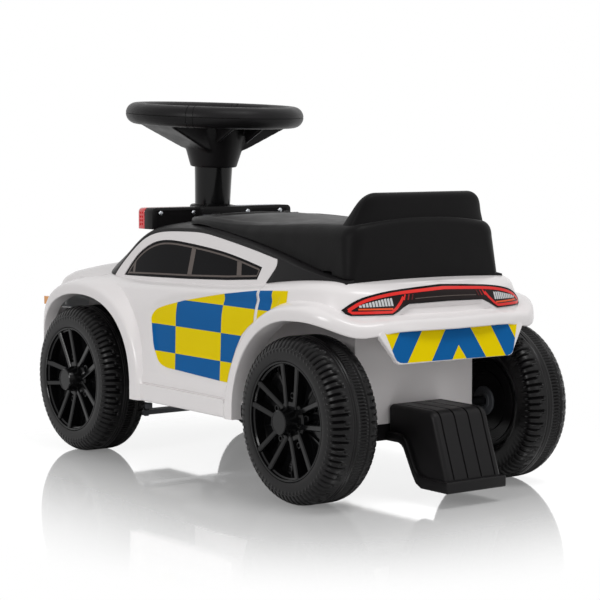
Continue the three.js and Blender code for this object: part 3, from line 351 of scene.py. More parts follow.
def plated_steel(name, colour):
    material = bpy.data.materials.new(name)
    material.use_nodes = True
    shader = material.node_tree.nodes["Principled BSDF"]
    shader.inputs["Metallic"].default_value = 1.0
    shader.inputs["Base Color"].default_value = linear(colour)
    grain = add(material, "ShaderNodeTexNoise", {"Scale": per_metre(STEEL_GRAIN), "Detail": 5.0},
                {"Vector": (add(material, "ShaderNodeTexCoord"), "Object")})
    rough = add(material, "ShaderNodeMapRange", {"To Min": 0.22, "To Max": 0.42}, {"Value": (grain, "Fac")})
    bump = add(material, "ShaderNodeBump", {"Distance": STEEL_RELIEF / 1000}, {"Height": (grain, "Fac")})
    material.node_tree.links.new(rough.outputs["Result"], shader.inputs["Roughness"])
    material.node_tree.links.new(bump.outputs["Normal"], shader.inputs["Normal"])
    return material


zinc_steel = plated_steel("zinc-plated steel", "#B9BCC0")
black_steel = plated_steel("black-plated steel", "#4A4B4E")
print("plated steels", 2)

# %% [markdown]
# The white shell is one smooth form: an outline seen from above, and at each place along it a side that leans
# in from the sill to the shoulder, then a crowned bonnet or deck. Drawing that form once as points on "the
# skin", by the run along the outline and the height, lets every other detail lie on it: the dished door, the
# wheel arch flares, the bumper ledge and later the printed check.

# %% The outline from above
NOSE_X, TAIL_X, HALF_WIDTH = 524.9, -77, 141
plan_half = [
    (NOSE_X, 0), (NOSE_X - 2, 62), (NOSE_X - 14, 105), (NOSE_X - 42, 131), (NOSE_X - 105, HALF_WIDTH),
    ((NOSE_X + TAIL_X) / 2, HALF_WIDTH), (TAIL_X + 90, HALF_WIDTH), (TAIL_X + 45, 132),
    (TAIL_X + 20, 110), (TAIL_X + 5, 66), (TAIL_X, 0),
]
mirrored_half = [(x, -y) for x, y in plan_half]
# the curve runs on round both ends, so that it crosses the middle plane squarely, and is then cut there
whole_plan = smooth_path(mirrored_half[3:0:-1] + plan_half + mirrored_half[-2:-5:-1], 1.0)
third = len(whole_plan) // 3
first = np.argmin(np.abs(whole_plan[:third, 1]))
last = len(whole_plan) - third + np.argmin(np.abs(whole_plan[-third:, 1]))
plan = whole_plan[first:last + 1].copy()
plan[0, 1] = plan[-1, 1] = 0
run_along = np.concatenate([[0], np.cumsum(np.linalg.norm(np.diff(plan, axis=0), axis=1))])
tangent = np.gradient(plan, axis=0)
tangent /= np.linalg.norm(tangent, axis=1, keepdims=True)
plan_out = np.stack([tangent[:, 1], -tangent[:, 0]], 1)
plan_out[0], plan_out[-1] = (1, 0), (-1, 0)
print("outline runs", round(run_along[-1]), "mm from nose to tail")

# %% The side from sill to shoulder
SILL_BOTTOM, DOOR_FOOT = -10, 20
shoulder = smooth_line([
    (TAIL_X, 127), (-26, 130), (74, 124), (98, 121), (221, 115), (392, 114), (NOSE_X - 84, 116),
    (NOSE_X - 39, 107), (NOSE_X - 15, 93), (NOSE_X, 78)])
crown = smooth_line([(TAIL_X, 2), (100, 4), (392, 11), (NOSE_X - 84, 10), (NOSE_X - 25, 8), (NOSE_X, 4)])
lean_in = smooth_line([(0, 4), (0.55, 10), (0.8, 14.5), (0.9, 18.5), (0.96, 23), (1, 31)])
# height and depth of the skin behind the outline, up the sill's edge to the foot of the door
sill_side = [(-10, 3.5), (-9.4, 1.4), (-8, 0.3), (-5, 0), (7.4, 0), (8.2, 0.6), (8.6, 3.2), (9.4, 3.6),
             (10.2, 2.6), (13, 2.7), (16, 3.2)]
DOOR_ROWS = np.linspace(0, 1, 40)


def side_depth(z, top):
    """How far the skin stands in from the outline at a height."""
    share = np.clip((z - DOOR_FOOT) / (top - DOOR_FOOT), 0, 1)
    low = np.interp(z, *np.array(sill_side + [(DOOR_FOOT, 4)]).T)
    return np.where(z < DOOR_FOOT, low, lean_in(share))


def on_skin(run, z, out=0.0):
    """Points on the left half of the skin by run along the outline and height, standing out so far."""
    run, z, out = np.broadcast_arrays(np.asarray(run, float), np.asarray(z, float), np.asarray(out, float))
    x, y, nx, ny = (np.interp(run, run_along, column) for column in (*plan.T, *plan_out.T))
    depth = side_depth(z, shoulder(x)) + dish(run, z) - out
    return np.stack([x - nx * depth, np.maximum(y - ny * depth, 0), z], -1)


print("skin from sill to shoulder in", len(sill_side) + len(DOOR_ROWS), "rows")

# %% [markdown]
# The door is dished: a shallow field with a soft border that follows the printed check. A soft border is a
# distance to an outline, turned into a smooth step, so the function below measures how far inside an outline
# a point lies. The tail has a second, smaller field where a number plate would sit.

# %% Dished fields
def depth_inside(points, outline):
    """Signed distance to a closed outline, positive inside."""
    points, outline = np.asarray(points, float), np.asarray(outline, float)
    ends = np.roll(outline, -1, axis=0)
    distance = np.full(points.shape[:-1], np.inf)
    inside = np.zeros(points.shape[:-1], bool)
    for a, b in zip(outline, ends):
        along = b - a
        share = np.clip(((points - a) @ along) / (along @ along), 0, 1)
        distance = np.minimum(distance, np.linalg.norm(points - a - share[..., None] * along, axis=-1))
        crosses = (a[1] > points[..., 1]) != (b[1] > points[..., 1])
        height = np.where(b[1] == a[1], 1e-9, b[1] - a[1])
        inside ^= crosses & (points[..., 0] < (b[0] - a[0]) * (points[..., 1] - a[1]) / height + a[0])
    return np.where(inside, distance, -distance)


def run_at(x):
    """Run along the outline where the left side has this x."""
    return np.interp(-np.asarray(x, float), -plan[:, 0], run_along)


door_field = [(run_at(x), z) for x, z in [
    (262, 84), (256, 92), (238, 98), (200, 104), (150, 108), (96, 110), (40, 112), (40, 60), (90, 22),
    (150, 21), (215, 22), (232, 26), (246, 40), (256, 58)]]
plate_field = [(run_along[-1] + side, z) for side, z in [
    (-84, 97), (-77, 92), (-64, 89), (64, 89), (64, 107), (-44, 107), (-52, 103.6), (-62, 97.6)]]
DOOR_DISH, DOOR_BORDER, PLATE_DISH, PLATE_BORDER = 3.2, 8, 4.0, 4.5


def soft_step(share):
    """A step from 0 to 1 that starts and ends level."""
    share = np.clip(share, 0, 1)
    return share * share * (3 - 2 * share)


def dish(run, z):
    """How deep the dished fields lie under the skin."""
    spots = np.stack([run, z], -1)
    door = soft_step(depth_inside(spots, door_field) / DOOR_BORDER + 0.5)
    plate = soft_step(depth_inside(spots, plate_field) / PLATE_BORDER + 0.5)
    return DOOR_DISH * door + PLATE_DISH * plate


print("dished fields", DOOR_DISH, "and", PLATE_DISH, "mm deep")

# %% The shell as one thick skin
SKIN_SPACING = 4.0
columns = np.linspace(0, run_along[-1], int(run_along[-1] / SKIN_SPACING))
CROWN_ROWS = np.linspace(1, 0, 14)[1:]


def shell_form(name, inset=0.0, floor=None, spacing=1):
    """A closed body with the shell's outside, shrunk by an inset and let down to a floor."""
    rings = []
    for run in columns[::spacing]:
        x = np.interp(run, run_along, plan[:, 0])
        top = shoulder(x)
        heights = np.concatenate([[z for z, _ in sill_side], DOOR_FOOT + DOOR_ROWS * (top - DOOR_FOOT)])
        side = on_skin(run, heights, -inset)
        side[-1, 2] -= inset
        if floor is not None:
            side = side[len(sill_side) + 3:]
            side = np.concatenate([[[*side[0, :2], floor]], side])
        edge = side[-1]
        arc = np.stack([np.full(len(CROWN_ROWS), edge[0]), CROWN_ROWS * edge[1],
                        edge[2] + crown(edge[0]) * (1 - CROWN_ROWS**2)], 1)
        rings.append(whole_ring(np.concatenate([side, arc])))
    return solid(name, *loft(rings, capped=False), welded=True)


shell = shell_form("shell")
print("shell form", len(shell.data.polygons), "faces")

# %% [markdown]
# Real shells of this kind are four mouldings: nose with front wings, two sides, and tail with rear wings. They
# meet at fine seams. The thick skin is cut by prisms seen from the side: the wheel openings, the hole under
# the roof, and then the regions between the seams, each a little short so that a hairline gap stays.

# %% Wheel openings and seams in side view
WHEEL_RADIUS, ARCH_CLEARANCE, FLARE_BAND = 80, 14, 14
ARCH_TOP = WHEEL_RADIUS + ARCH_CLEARANCE
FRONT_ARCH_X, FRONT_ARCH_HALF, ARCH_POWER = WHEELBASE - 12.5, 104.5, 2 / 2.3
REAR_ARCH_RADIUS = WHEEL_RADIUS + 12
BELOW, BEYOND = -120, 400
BUMPER_EDGE = 80


def front_arch(extra, steps=72):
    """Side view of the front wheel opening, grown by an extra."""
    angle = np.linspace(0, math.pi, steps)
    along = np.sign(np.cos(angle)) * np.abs(np.cos(angle)) ** ARCH_POWER
    return np.stack([FRONT_ARCH_X - extra / 4 + (FRONT_ARCH_HALF + extra) * along,
                     (ARCH_TOP + extra) * np.sin(angle) ** ARCH_POWER], 1)


def rear_arch(extra, steps=40):
    """Side view of the rear wheel opening, which runs out over the bumper's edge."""
    angle = np.linspace(0, math.pi / 2, steps)
    quarter = np.stack([(REAR_ARCH_RADIUS + 1.4 * extra) * np.cos(angle), (ARCH_TOP + extra) * np.sin(angle)], 1)
    run_out = smooth_path([(0, ARCH_TOP + extra), (-20, ARCH_TOP - 0.5 + extra), (-42, BUMPER_EDGE + 8 + extra),
                           (-62, BUMPER_EDGE + extra), (-110, BUMPER_EDGE - 1 + extra)], 4)
    return np.concatenate([quarter, run_out[1:]])


def closed_below(line):
    return [(line[0][0], BELOW), *map(tuple, line), (line[-1][0], BELOW)]


PILLAR_SEAM_X, REAR_SEAM_X, SEAM_GAP = 388, 76, 0.7


def nose_region(extra=0.0):
    arch = front_arch(FLARE_BAND - 2 + extra)
    rear_side = arch[arch[:, 0] < PILLAR_SEAM_X - 6]
    return [(900, BELOW), (900, BEYOND), (PILLAR_SEAM_X - extra, BEYOND), (PILLAR_SEAM_X - extra, 114),
            *map(tuple, rear_side), (rear_side[-1][0], BELOW)]


def tail_region(extra=0.0):
    arch = rear_arch(FLARE_BAND - 2 + extra)[:19]
    return [(arch[0][0], BELOW), *map(tuple, arch), (REAR_SEAM_X + 3 + extra, 100),
            (REAR_SEAM_X + extra, 118), (REAR_SEAM_X + extra, BEYOND), (-500, BEYOND), (-500, BELOW)]


print("wheel openings up to", ARCH_TOP, "mm over the axles")

# %% A thick skin with wheel openings
WIDE, SHELL_WALL, FLARE_OVERLAP = 170, 3.0, 5


def across_car(outline):
    """A cutter with a side-view outline, right through the car."""
    return prism(outline, "xz", -WIDE, WIDE)


def on_side(outline, way, inner):
    """A cutter with a side-view outline through one side of the car, from an inner distance outwards."""
    return prism(outline, "xz", *sorted((way * inner, way * WIDE)))


carve(shell, shell_form("lining", SHELL_WALL, BELOW, 3))
for arch in (front_arch(FLARE_OVERLAP), rear_arch(FLARE_OVERLAP)):
    carve(shell, across_car(closed_below(arch)))
print("shell cut", len(shell.data.polygons), "faces")

# %% [markdown]
# The roof stands on the shell like a smaller car on a bigger one. Its form is a loft of cross sections: the
# sides lean in from the belt to the roof's edge, and a crown closes it. Windscreen and tail are part of it.

# %% The roof's form
roof_edge = smooth_line([
    (-30, 130.5), (0, 134), (30, 139.5), (70, 149), (116, 158), (170, 166.5), (206, 170.5), (244, 170.5),
    (283, 168.5), (311, 162.5), (337, 148.5), (371, 122), (392, 110), (430, 80)])
roof_centre = smooth_line([
    (-30, 134), (0, 139), (50, 150), (100, 160), (170, 171), (230, 176), (280, 177), (310, 174), (350, 161),
    (392, 142), (430, 123)])
belt_half = smooth_line([(-30, 98), (40, 107), (110, 110), (250, 110), (371, 105), (430, 96)])
TUMBLEHOME, ROOF_TAIL_X, ROOF_NOSE_X = 0.17, -30, 430
roof_stations = np.linspace(ROOF_TAIL_X, ROOF_NOSE_X, 116)


def roof_side(x, z, out=0.0):
    """Half width of the roof's form at a height between belt and edge."""
    edge_z = roof_edge(x)
    belt_z = np.minimum(shoulder(x) - 1, edge_z - 2)
    return belt_half(x) - TUMBLEHOME * np.clip(z - belt_z, 0, None) + out


def roof_form(name, inset=0.0, floor=100):
    """A closed body with the roof's outside, shrunk by an inset and let down to a floor."""
    rings = []
    for x in roof_stations:
        edge_z = roof_edge(x) - inset
        belt_z = min(shoulder(x) - 1, edge_z - 2)
        belt = belt_half(x) - inset
        edge = belt - TUMBLEHOME * (edge_z - belt_z)
        rise = roof_centre(x) - inset - edge_z
        turn = np.linspace(0, 1, 15)
        across = np.interp(turn, [0, 0.1, 0.2, 1], [edge, edge - 2.2, edge - 6, 0])
        lift = edge_z + rise * np.interp(across / edge, [0, 0.3, 0.62, 0.85, 0.93, 0.98, 1],
                                         [1, 0.95, 0.8, 0.52, 0.36, 0.14, 0])
        low = [(belt, min(floor, belt_z - 1)), (belt, belt_z), ((belt + edge) / 2, (belt_z + edge_z) / 2)]
        left = np.array([(x, y, z) for y, z in [*low, *zip(across, lift)]])
        if inset:
            left[:, 0] = np.clip(left[:, 0], ROOF_TAIL_X + inset, ROOF_NOSE_X - inset)
        rings.append(whole_ring(left))
    return solid(name, *loft(rings))


print("roof sections", len(roof_stations))

# %% Window frame and window in side view
frame_line = smooth_path([
    (376, 112), (371, 118), (337, 145), (311, 159), (283, 165), (244, 167), (206, 167), (170, 163), (116, 155),
    (70, 147)], 5)
frame_tail = smooth_path([(70, 147), (69.5, 142), (74.5, 134), (83, 124)], 3)
window_line = smooth_path([(352, 116), (328, 139), (298, 153), (268, 157), (221, 155), (157, 149), (93, 138)], 5)


def frame_outline(extra):
    top = frame_line + (0, extra)
    tail = frame_tail - (extra, 0)
    return [(376 + extra, 79), *map(tuple, top[:-1]), (70 - 0.7 * extra, 147 + extra), *map(tuple, tail[1:]),
            (86 - extra, 79)]


def window_outline(extra):
    top = window_line + (0, extra)
    return [(352 + 1.5 * extra, 116 - extra), *map(tuple, top), (93 - extra, 138 + extra),
            (99 - extra, 126 - extra), (150, 122.5 - extra), (221, 119.5 - extra), (290, 117.5 - extra)]


print("window outline points", len(window_outline(0)))

# %% Cut the shell into its four mouldings
footprint_x = np.linspace(-22, 396, 60)
ROOF_LEDGE = 8
footprint = [(x, belt_half(x) - ROOF_LEDGE) for x in footprint_x]
carve(shell, prism(footprint + [(x, -y) for x, y in footprint[::-1]], "xy", BELOW, BEYOND))
front_body = carve(twin(shell, "nose_moulding"), across_car(nose_region()), "INTERSECT")
rear_body = carve(twin(shell, "tail_moulding"), across_car(tail_region()), "INTERSECT")
carve(shell, across_car(nose_region(SEAM_GAP)))
carve(shell, across_car(tail_region(SEAM_GAP)))

print("nose and tail", [len(p.data.polygons) for p in (front_body, rear_body)], "faces")

# %% Join the window frames to the sides
ROOF_WALL, FIT_GAP = 3.5, 0.3
frames = carve(roof_form("frames"), roof_form("lining", ROOF_WALL, BELOW))
carve(frames, across_car(frame_outline(0)), "INTERSECT")
ends = carve(across_car(nose_region(SEAM_GAP)), across_car(tail_region(SEAM_GAP)), "UNION")
carve(ends, shell_form("cover", -FIT_GAP, BELOW), "INTERSECT")
carve(frames, ends)
carve(shell, frames, "UNION")
carve(shell, across_car(window_outline(FIT_GAP)))
side_panels = {}
for side, way in SIDES.items():
    half = on_side(rectangle(-300, 700, BELOW, BEYOND), way, 2)
    side_panels[side] = carve(twin(shell, f"{side}_door_moulding"), half, "INTERSECT")
bpy.data.objects.remove(shell)
print("mouldings", [len(p.data.polygons) for p in (front_body, rear_body, *side_panels.values())])

# %% [markdown]
# The wheel arch flares are raised bands: a rolled lip at the wheel opening, a nearly flat face, and a soft
# fall back to the skin. A sweep makes that best: one cross section of offsets carried along the lip's line.
# The rear flare runs on round the tail as the bumper's ledge, so its line is drawn by run and height.

# %% Flares and bumper ledge
FLARE_PROUD = 2.5
# distance from the lip, and share of the way from the skin to the flare's full reach
flare_section = [(0, 0.86), (0.25, 0.95), (0.9, 0.99), (2, 1), (6, 0.995), (9.5, 0.96), (11.8, 0.88),
                 (13.4, 0.76), (15, 0.54), (16.4, 0.3), (17.6, 0.1)]
# distance from the lip, and how far the flare's foot stands out of the skin
FLARE_FOOT = [(18.6, -0.8), (19.6, -2.0)]
# the lip turns inwards, and only a little in front of the front axle, where the steered tyre comes near
LIP_RETURN, FRONT_RETURN = 9, 1.5


def sweep_flare(name, line, outward, share_at=lambda run: 1.0):
    """A closed band along a line of (run, height) points, widening to the given side."""
    line = np.array(line)
    along = np.gradient(line, axis=0)
    along /= np.linalg.norm(along, axis=1, keepdims=True)
    away = outward * np.stack([-along[:, 1], along[:, 0]], 1)
    place = lambda run, z: (min(run, run_along[-1]), max(z, SILL_BOTTOM + 0.05))
    rings = []
    for spot, push in zip(line, away):
        size = share_at(spot[0])
        ahead = np.interp(spot[0], run_along, plan[:, 0]) - WHEELBASE
        ring = [on_skin(*spot, -np.interp(ahead, [0, 50], [LIP_RETURN, FRONT_RETURN]))]
        for offset, share in flare_section:
            run, z = place(*(spot + size * offset * push))
            x = np.interp(run, run_along, plan[:, 0])
            full = side_depth(z, shoulder(x)) + dish(np.array(run), np.array(z)) + FLARE_PROUD
            ring.append(on_skin(run, z, size * share * full))
        ring += [on_skin(*place(*(spot + size * offset * push)), out) for offset, out in FLARE_FOOT]
        rings.append(ring)
    return solid(name, *loft(rings))


def mirrored(piece, name):
    """The right-hand copy of a left-hand piece."""
    copy = twin(piece, name)
    copy.data.transform(Matrix.Scale(-1, 4, (0, 1, 0)))
    copy.data.flip_normals()
    return copy


# %% Lines of the flares
arch_side = front_arch(0, 90)
front_line = [(run_at(arch_side[0][0]), z) for z in np.linspace(-9.5, -1, 4)]
front_line += [(run_at(x), z) for x, z in arch_side[1:-1]]
front_line += [(run_at(arch_side[-1][0]), z) for z in np.linspace(-1, -9.5, 4)]
over_axle = float(run_at(0))
rear_line = [(run_at(REAR_ARCH_RADIUS), z) for z in np.linspace(-9.5, -1, 4)]
rear_line += [(run_at(x), z) for x, z in rear_arch(0)[1:40]]
rear_line += [tuple(spot) for spot in smooth_path([
    (over_axle, ARCH_TOP), (over_axle + 22, ARCH_TOP - 0.5), (over_axle + 46, BUMPER_EDGE + 7.5),
    (over_axle + 66, BUMPER_EDGE + 1.2), (over_axle + 82, BUMPER_EDGE + 0.8), (over_axle + 100, BUMPER_EDGE + 3.5),
    (over_axle + 116, BUMPER_EDGE + 5), (run_along[-1], BUMPER_EDGE + 5)], 4)[1:]]
front_flare = sweep_flare("front_flare", front_line, 1)
to_plate = [over_axle + 72, over_axle + 108]
rear_flare = sweep_flare("rear_flare", rear_line, 1, lambda run: np.interp(run, to_plate, [1, 0.8]))
right_flares = [mirrored(front_flare, "right_front_flare"), mirrored(rear_flare, "right_rear_flare")]

print("flares", [len(flare.data.polygons) for flare in (front_flare, rear_flare, *right_flares)], "faces")

# %% The pad under the bumper
# half widths and heights of its top and foot, and how much it leans back per height
PAD_TOP_HALF, PAD_LOW_HALF, PAD_TOP, PAD_LOW, PAD_LEAN = 90.5, 72, 83.5, 55, 0.2
corner = [(PAD_LOW_HALF + 7 * math.cos(a) - 5, PAD_LOW + 6 + 6 * math.sin(a)) for a in np.linspace(-1.57, -0.2, 7)]
pad_side = [*corner, (PAD_TOP_HALF, PAD_TOP), (PAD_TOP_HALF - 9, PAD_TOP + 8)]
pad_outline = pad_side + [(-y, z) for y, z in pad_side[::-1]]
tail_pad = prism(pad_outline, "yz", TAIL_X + 2, TAIL_X + 9, "tail_pad")
for vertex in tail_pad.data.vertices:
    vertex.co.x += PAD_LEAN * (vertex.co.z - ORIGIN[2] - PAD_LOW / 1000)
print("pad", 2 * PAD_TOP_HALF, "mm wide")

# %% [markdown]
# The lamps are panels let into the shell, so their places are cut out of the mouldings first. The rounding
# that every mould leaves on its edges comes last, as a bevel, and catches the light along the seams.

# %% Lamp places and finished white mouldings
tail_lamp_half = [(0, 110.6), (46, 109.8), (53, 106.8), (65, 100.6), (105, 100.8), (110.2, 105.8), (103, 111.2),
                  (92, 116.3), (71, 120.8), (45, 123.2), (0, 125.3)]


def lamp_outline(extra):
    grown = [(y + (extra if y > 100 else 0), z + (extra if z > 112 else -extra)) for y, z in tail_lamp_half]
    return grown + [(-y, z) for y, z in grown[-2:0:-1]]


def through_tail(outline):
    """A cutter with an outline seen from behind, through the tail."""
    return prism(outline, "yz", TAIL_X - 30, TAIL_X + 45)


def through_nose(outline, back=60, ahead=30):
    """A cutter with an outline seen from the front, through the nose."""
    return prism(outline, "yz", NOSE_X - back, NOSE_X + ahead)


LAMP_GAP = 0.4
head_lamp = [(62, 66), (118, 72), (150, 80), (150, 90), (112, 91), (66, 80)]
grille_place = [(-52, 22), (52, 22), (74, 54), (-74, 54)]
carve(rear_body, through_tail(lamp_outline(LAMP_GAP)))
for way in SIDES.values():
    carve(front_body, through_nose([(way * u, v) for u, v in head_lamp]))
carve(front_body, through_nose(grille_place))
for moulding in (front_body, rear_body, *side_panels.values()):
    soften(moulding, 0.9, 45)
    settle(moulding)
soften(tail_pad, 1.6, 40, 3)
settle(tail_pad)
for moulding, added in ((front_body, (front_flare, right_flares[0])),
                        (rear_body, (rear_flare, right_flares[1], tail_pad))):
    for part in added:
        carve(moulding, part, "UNION")

# %% The white finish
def finish_piece(piece, finish, body, node=None, sharp=38):
    """Gives a piece its finish, puts it on the body it rides on and hides the node that it stands for."""
    piece.data.materials.clear()
    piece.data.materials.append(finish)
    piece.data.shade_smooth()
    piece.data.set_sharp_from_angle(angle=math.radians(sharp))
    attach(piece, body)
    if node:
        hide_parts(node)


for moulding, node in ((front_body, "front_body"), (rear_body, "rear_body"),
                       (side_panels["left"], "left_side_panel"), (side_panels["right"], "right_side_panel")):
    finish_piece(moulding, white_polypropylene, "body", node, 42)
    even = moulding.modifiers.new("even light", "WEIGHTED_NORMAL")
    even.keep_sharp, even.weight = True, 80
print("white mouldings", [len(m.data.polygons) for m in (front_body, rear_body, *side_panels.values())])

# %% [markdown]
# The black roof is the same roof form with the white frames, the shell, the bin's opening and the column's
# hole cut away. The column leans a little, so round pieces on it are turned about an upright axis first and
# then moved onto the leaning one. Two ears in front of the bin carry the hinge pin of the seat lid.

# %% The steering axis and turned pieces
STEERING_X, STEERING_Z, COLUMN_TILT = 332.7, 289.3, math.radians(3)
steering_place = Matrix.Translation((STEERING_X, 0, STEERING_Z)) @ Matrix.Rotation(-COLUMN_TILT, 4, "Y")


def turned(profile, steps=64, upright=True):
    """Points and faces of a closed (radius, height) profile turned about the z axis, or about the y axis."""
    angles = np.linspace(0, 2 * math.pi, steps, endpoint=False)
    profile = np.array(profile, float)
    rings = []
    for angle in angles:
        u, v = profile[:, 0] * math.cos(angle), profile[:, 0] * math.sin(angle)
        rings.append(np.stack([u, v, profile[:, 1]] if upright else [u, profile[:, 1], v], 1))
    return loft([*rings, rings[0]], capped=False)


def on_column(points):
    """Moves points drawn about an upright z axis onto the leaning steering axis."""
    points = np.array(points, float)
    turn = np.array(steering_place)
    return points @ turn[:3, :3].T + turn[:3, 3]


def turned_piece(name, profile, place=lambda points: points, steps=64, upright=True):
    points, faces = turned(profile, steps, upright)
    return solid(name, place(points), faces, welded=True)


def rod(radius, low, high):
    """A round cutter along the steering axis."""
    return turned_piece("tool", [(0, low), (radius, low), (radius, high), (0, high)], on_column)


# %% Roof
COLUMN_HOLE, BIN_HALF = 20.1, 66
roof = carve(roof_form("roof_moulding"), roof_form("lining", ROOF_WALL, BELOW))
carve(roof, shell_form("cover", -FIT_GAP, BELOW))
for way in SIDES.values():
    carve(roof, on_side(frame_outline(0.4), way, 60))
carve(roof, prism(rectangle(30, 242, -BIN_HALF, BIN_HALF), "xy", BELOW, BEYOND))
carve(roof, rod(COLUMN_HOLE, -160, 0))
soften(roof, 0.8, 45)
settle(roof)
HINGE_X, HINGE_Z, HINGE_EAR_Y, EAR_HALF, EAR_RADIUS, EAR_FOOT = 262.5, 181.2, 46, 4, 3.4, 174
barrel = [(HINGE_X + EAR_RADIUS * math.cos(a), HINGE_Z + EAR_RADIUS * math.sin(a))
          for a in np.linspace(0, math.pi, 17)]
for way in SIDES.values():
    near, far = way * HINGE_EAR_Y - EAR_HALF, way * HINGE_EAR_Y + EAR_HALF
    ear = prism([*barrel, (HINGE_X - EAR_RADIUS, EAR_FOOT), (HINGE_X + EAR_RADIUS, EAR_FOOT)], "xz", near, far)
    carve(ear, prism(circle(HINGE_X, HINGE_Z, 2.3, 24), "xz", near - 1, far + 1))
    gather(roof, ear)
finish_piece(roof, satin_polypropylene, "body", "roof_panel", 40)
print("roof", len(roof.data.polygons))

# %% [markdown]
# A printed film is a thin sheet that lies on a curved face. Its outline is drawn flat, filled with triangles
# small enough to bend, and every point is then laid on the surface by a function of the two flat coordinates.
# Faces that look towards the car's middle are turned round, and the sheet gets its thickness inwards. The
# same film makes the windows' borders, the inks of the tail lamp, the check and the chevrons.

# %% Films on curved faces
from mathutils.geometry import delaunay_2d_cdt

FILM_THICK, CAR_MIDDLE = 0.2, Vector((0, 0, 0.1))


def filled(outline, spacing):
    """Flat points and triangles inside an outline, about as fine as the spacing."""
    outline = [p for p, q in zip(outline, [*outline[1:], outline[0]]) if math.dist(p, q) > 0.05]
    closed = np.array([*outline, outline[0]], float)
    ring = []
    for a, b in zip(closed[:-1], closed[1:]):
        steps = max(1, int(np.ceil(np.linalg.norm(b - a) / spacing)))
        ring += [tuple(a + (b - a) * i / steps) for i in range(steps)]
    low, high = np.min(ring, axis=0), np.max(ring, axis=0)
    grid = np.meshgrid(np.arange(low[0], high[0], spacing), np.arange(low[1], high[1], spacing))
    spots = np.stack(grid, -1).reshape(-1, 2)
    spots = spots[depth_inside(spots, ring) > 0.4 * spacing] if len(spots) else spots
    flat = [Vector(p) for p in (*ring, *spots)]
    made = delaunay_2d_cdt(flat, [], [list(range(len(ring)))], 1, 1e-5)
    return [tuple(p) for p in made[0]], made[2]


def film(name, outlines, surface, finish, spacing=5.0):
    """A thin film inside flat outlines, laid on surface(u, v)."""
    points, faces = [], []
    for outline in outlines:
        spots, triangles = filled(outline, spacing)
        faces += [tuple(i + len(points) for i in triangle) for triangle in triangles]
        points += spots
    piece = make_piece(name, surface(*np.array(points).T), faces)
    mesh = bmesh.new()
    mesh.from_mesh(piece.data)
    bmesh.ops.remove_doubles(mesh, verts=mesh.verts, dist=1e-5)
    for face in mesh.faces:
        if face.normal.dot(face.calc_center_median() - CAR_MIDDLE) < 0:
            face.normal_flip()
    mesh.to_mesh(piece.data)
    mesh.free()
    thick = piece.modifiers.new("film thickness", "SOLIDIFY")
    thick.thickness, thick.offset = FILM_THICK / 1000, -1
    settle(piece)
    finish_piece(piece, finish, "body", None, 60)


def band(line, width, closed=False):
    """The flat outlines of a band along a line of points, cut into short four-sided pieces."""
    line = np.array([*line, line[0]] if closed else line, float)
    along = np.gradient(line, axis=0)
    if closed:
        along[0] = along[-1] = line[1] - line[-2]
    along /= np.linalg.norm(along, axis=1, keepdims=True)
    aside = np.stack([-along[:, 1], along[:, 0]], 1) * width / 2
    return [[a - p, b - q, b + q, a + p] for a, b, p, q in zip(line[:-1], line[1:], aside[:-1], aside[1:])]


# %% [markdown]
# The side windows are dark panes behind the white frames. A grey-brown border is printed round each, with a
# slanted bar for each door post and a narrow one in the front corner.

# %% Windows
PANE_INSET, PANE_THICKNESS = 1.0, 2.2


def shrunk(outline, inset):
    """An outline moved inwards, point by point along the corner's bisector."""
    outline = np.array(outline, float)
    back, ahead = outline - np.roll(outline, 1, axis=0), np.roll(outline, -1, axis=0) - outline
    back /= np.linalg.norm(back, axis=1, keepdims=True)
    ahead /= np.linalg.norm(ahead, axis=1, keepdims=True)
    area = np.sum(outline[:, 0] * np.roll(outline[:, 1], -1) - outline[:, 1] * np.roll(outline[:, 0], -1))
    normal = np.sign(area) * np.stack([-(back + ahead)[:, 1], (back + ahead)[:, 0]], 1)
    normal /= np.linalg.norm(normal, axis=1, keepdims=True)
    stretch = 1 / np.clip(np.sum(normal * np.stack([-back[:, 1], back[:, 0]], 1) * np.sign(area), axis=1), 0.5, 1)
    return outline + normal * inset * stretch[:, None]


outline = window_outline(0)
window_edge = [p for p, before in zip(outline, outline[-1:] + outline[:-1]) if math.dist(p, before) > 0.5]
low_edge = [(99, 126), (150, 122.5), (221, 119.5), (290, 117.5), (352, 116)]
BORDER_INSET, BORDER_WIDTH, INK_OUT = 3.4, 1.7, 0.12


def window_post(x_low, x_high, width):
    """A bar's outline between the borders at the window's low and high edge."""
    corners = []
    for x, line, lift in ((x_low, low_edge, 1), (x_high, sorted(map(tuple, window_line)), -1)):
        ends = [x + lift * way * width / 2 for way in (-1, 1)]
        corners += [(end, np.interp(end, *np.array(line).T) + lift * BORDER_INSET) for end in ends]
    return corners


posts = [window_post(221.5, 219, 8), window_post(131.5, 134, 8), window_post(333, 333, 4.5)]
border = band(shrunk(window_edge, BORDER_INSET), BORDER_WIDTH, True)
for side, way in SIDES.items():
    pane = carve(roof_form(f"{side}_window_pane", PANE_INSET),
                 roof_form("lining", PANE_INSET + PANE_THICKNESS, BELOW))
    carve(pane, on_side(window_outline(0), way, 60), "INTERSECT")
    finish_piece(pane, window_film, "body", f"{side}_window")
    on_pane = lambda x, z: np.stack([x, way * roof_side(x, z, INK_OUT - PANE_INSET), z], -1)
    film(f"{side}_window_border", border, on_pane, border_ink)
    film(f"{side}_window_posts", posts, on_pane, border_ink)
print("windows with borders and posts", 2)

# %% [markdown]
# The seat lid is one blow-moulded box: a skirt that follows the roof's slope, a soft shoulder, a dished top
# panel, a rounded rear block and a low backrest hump. Cross sections along the car make the box, level
# sections make the hump, and both are joined before the hollow, the hinge and the finger notches are cut.

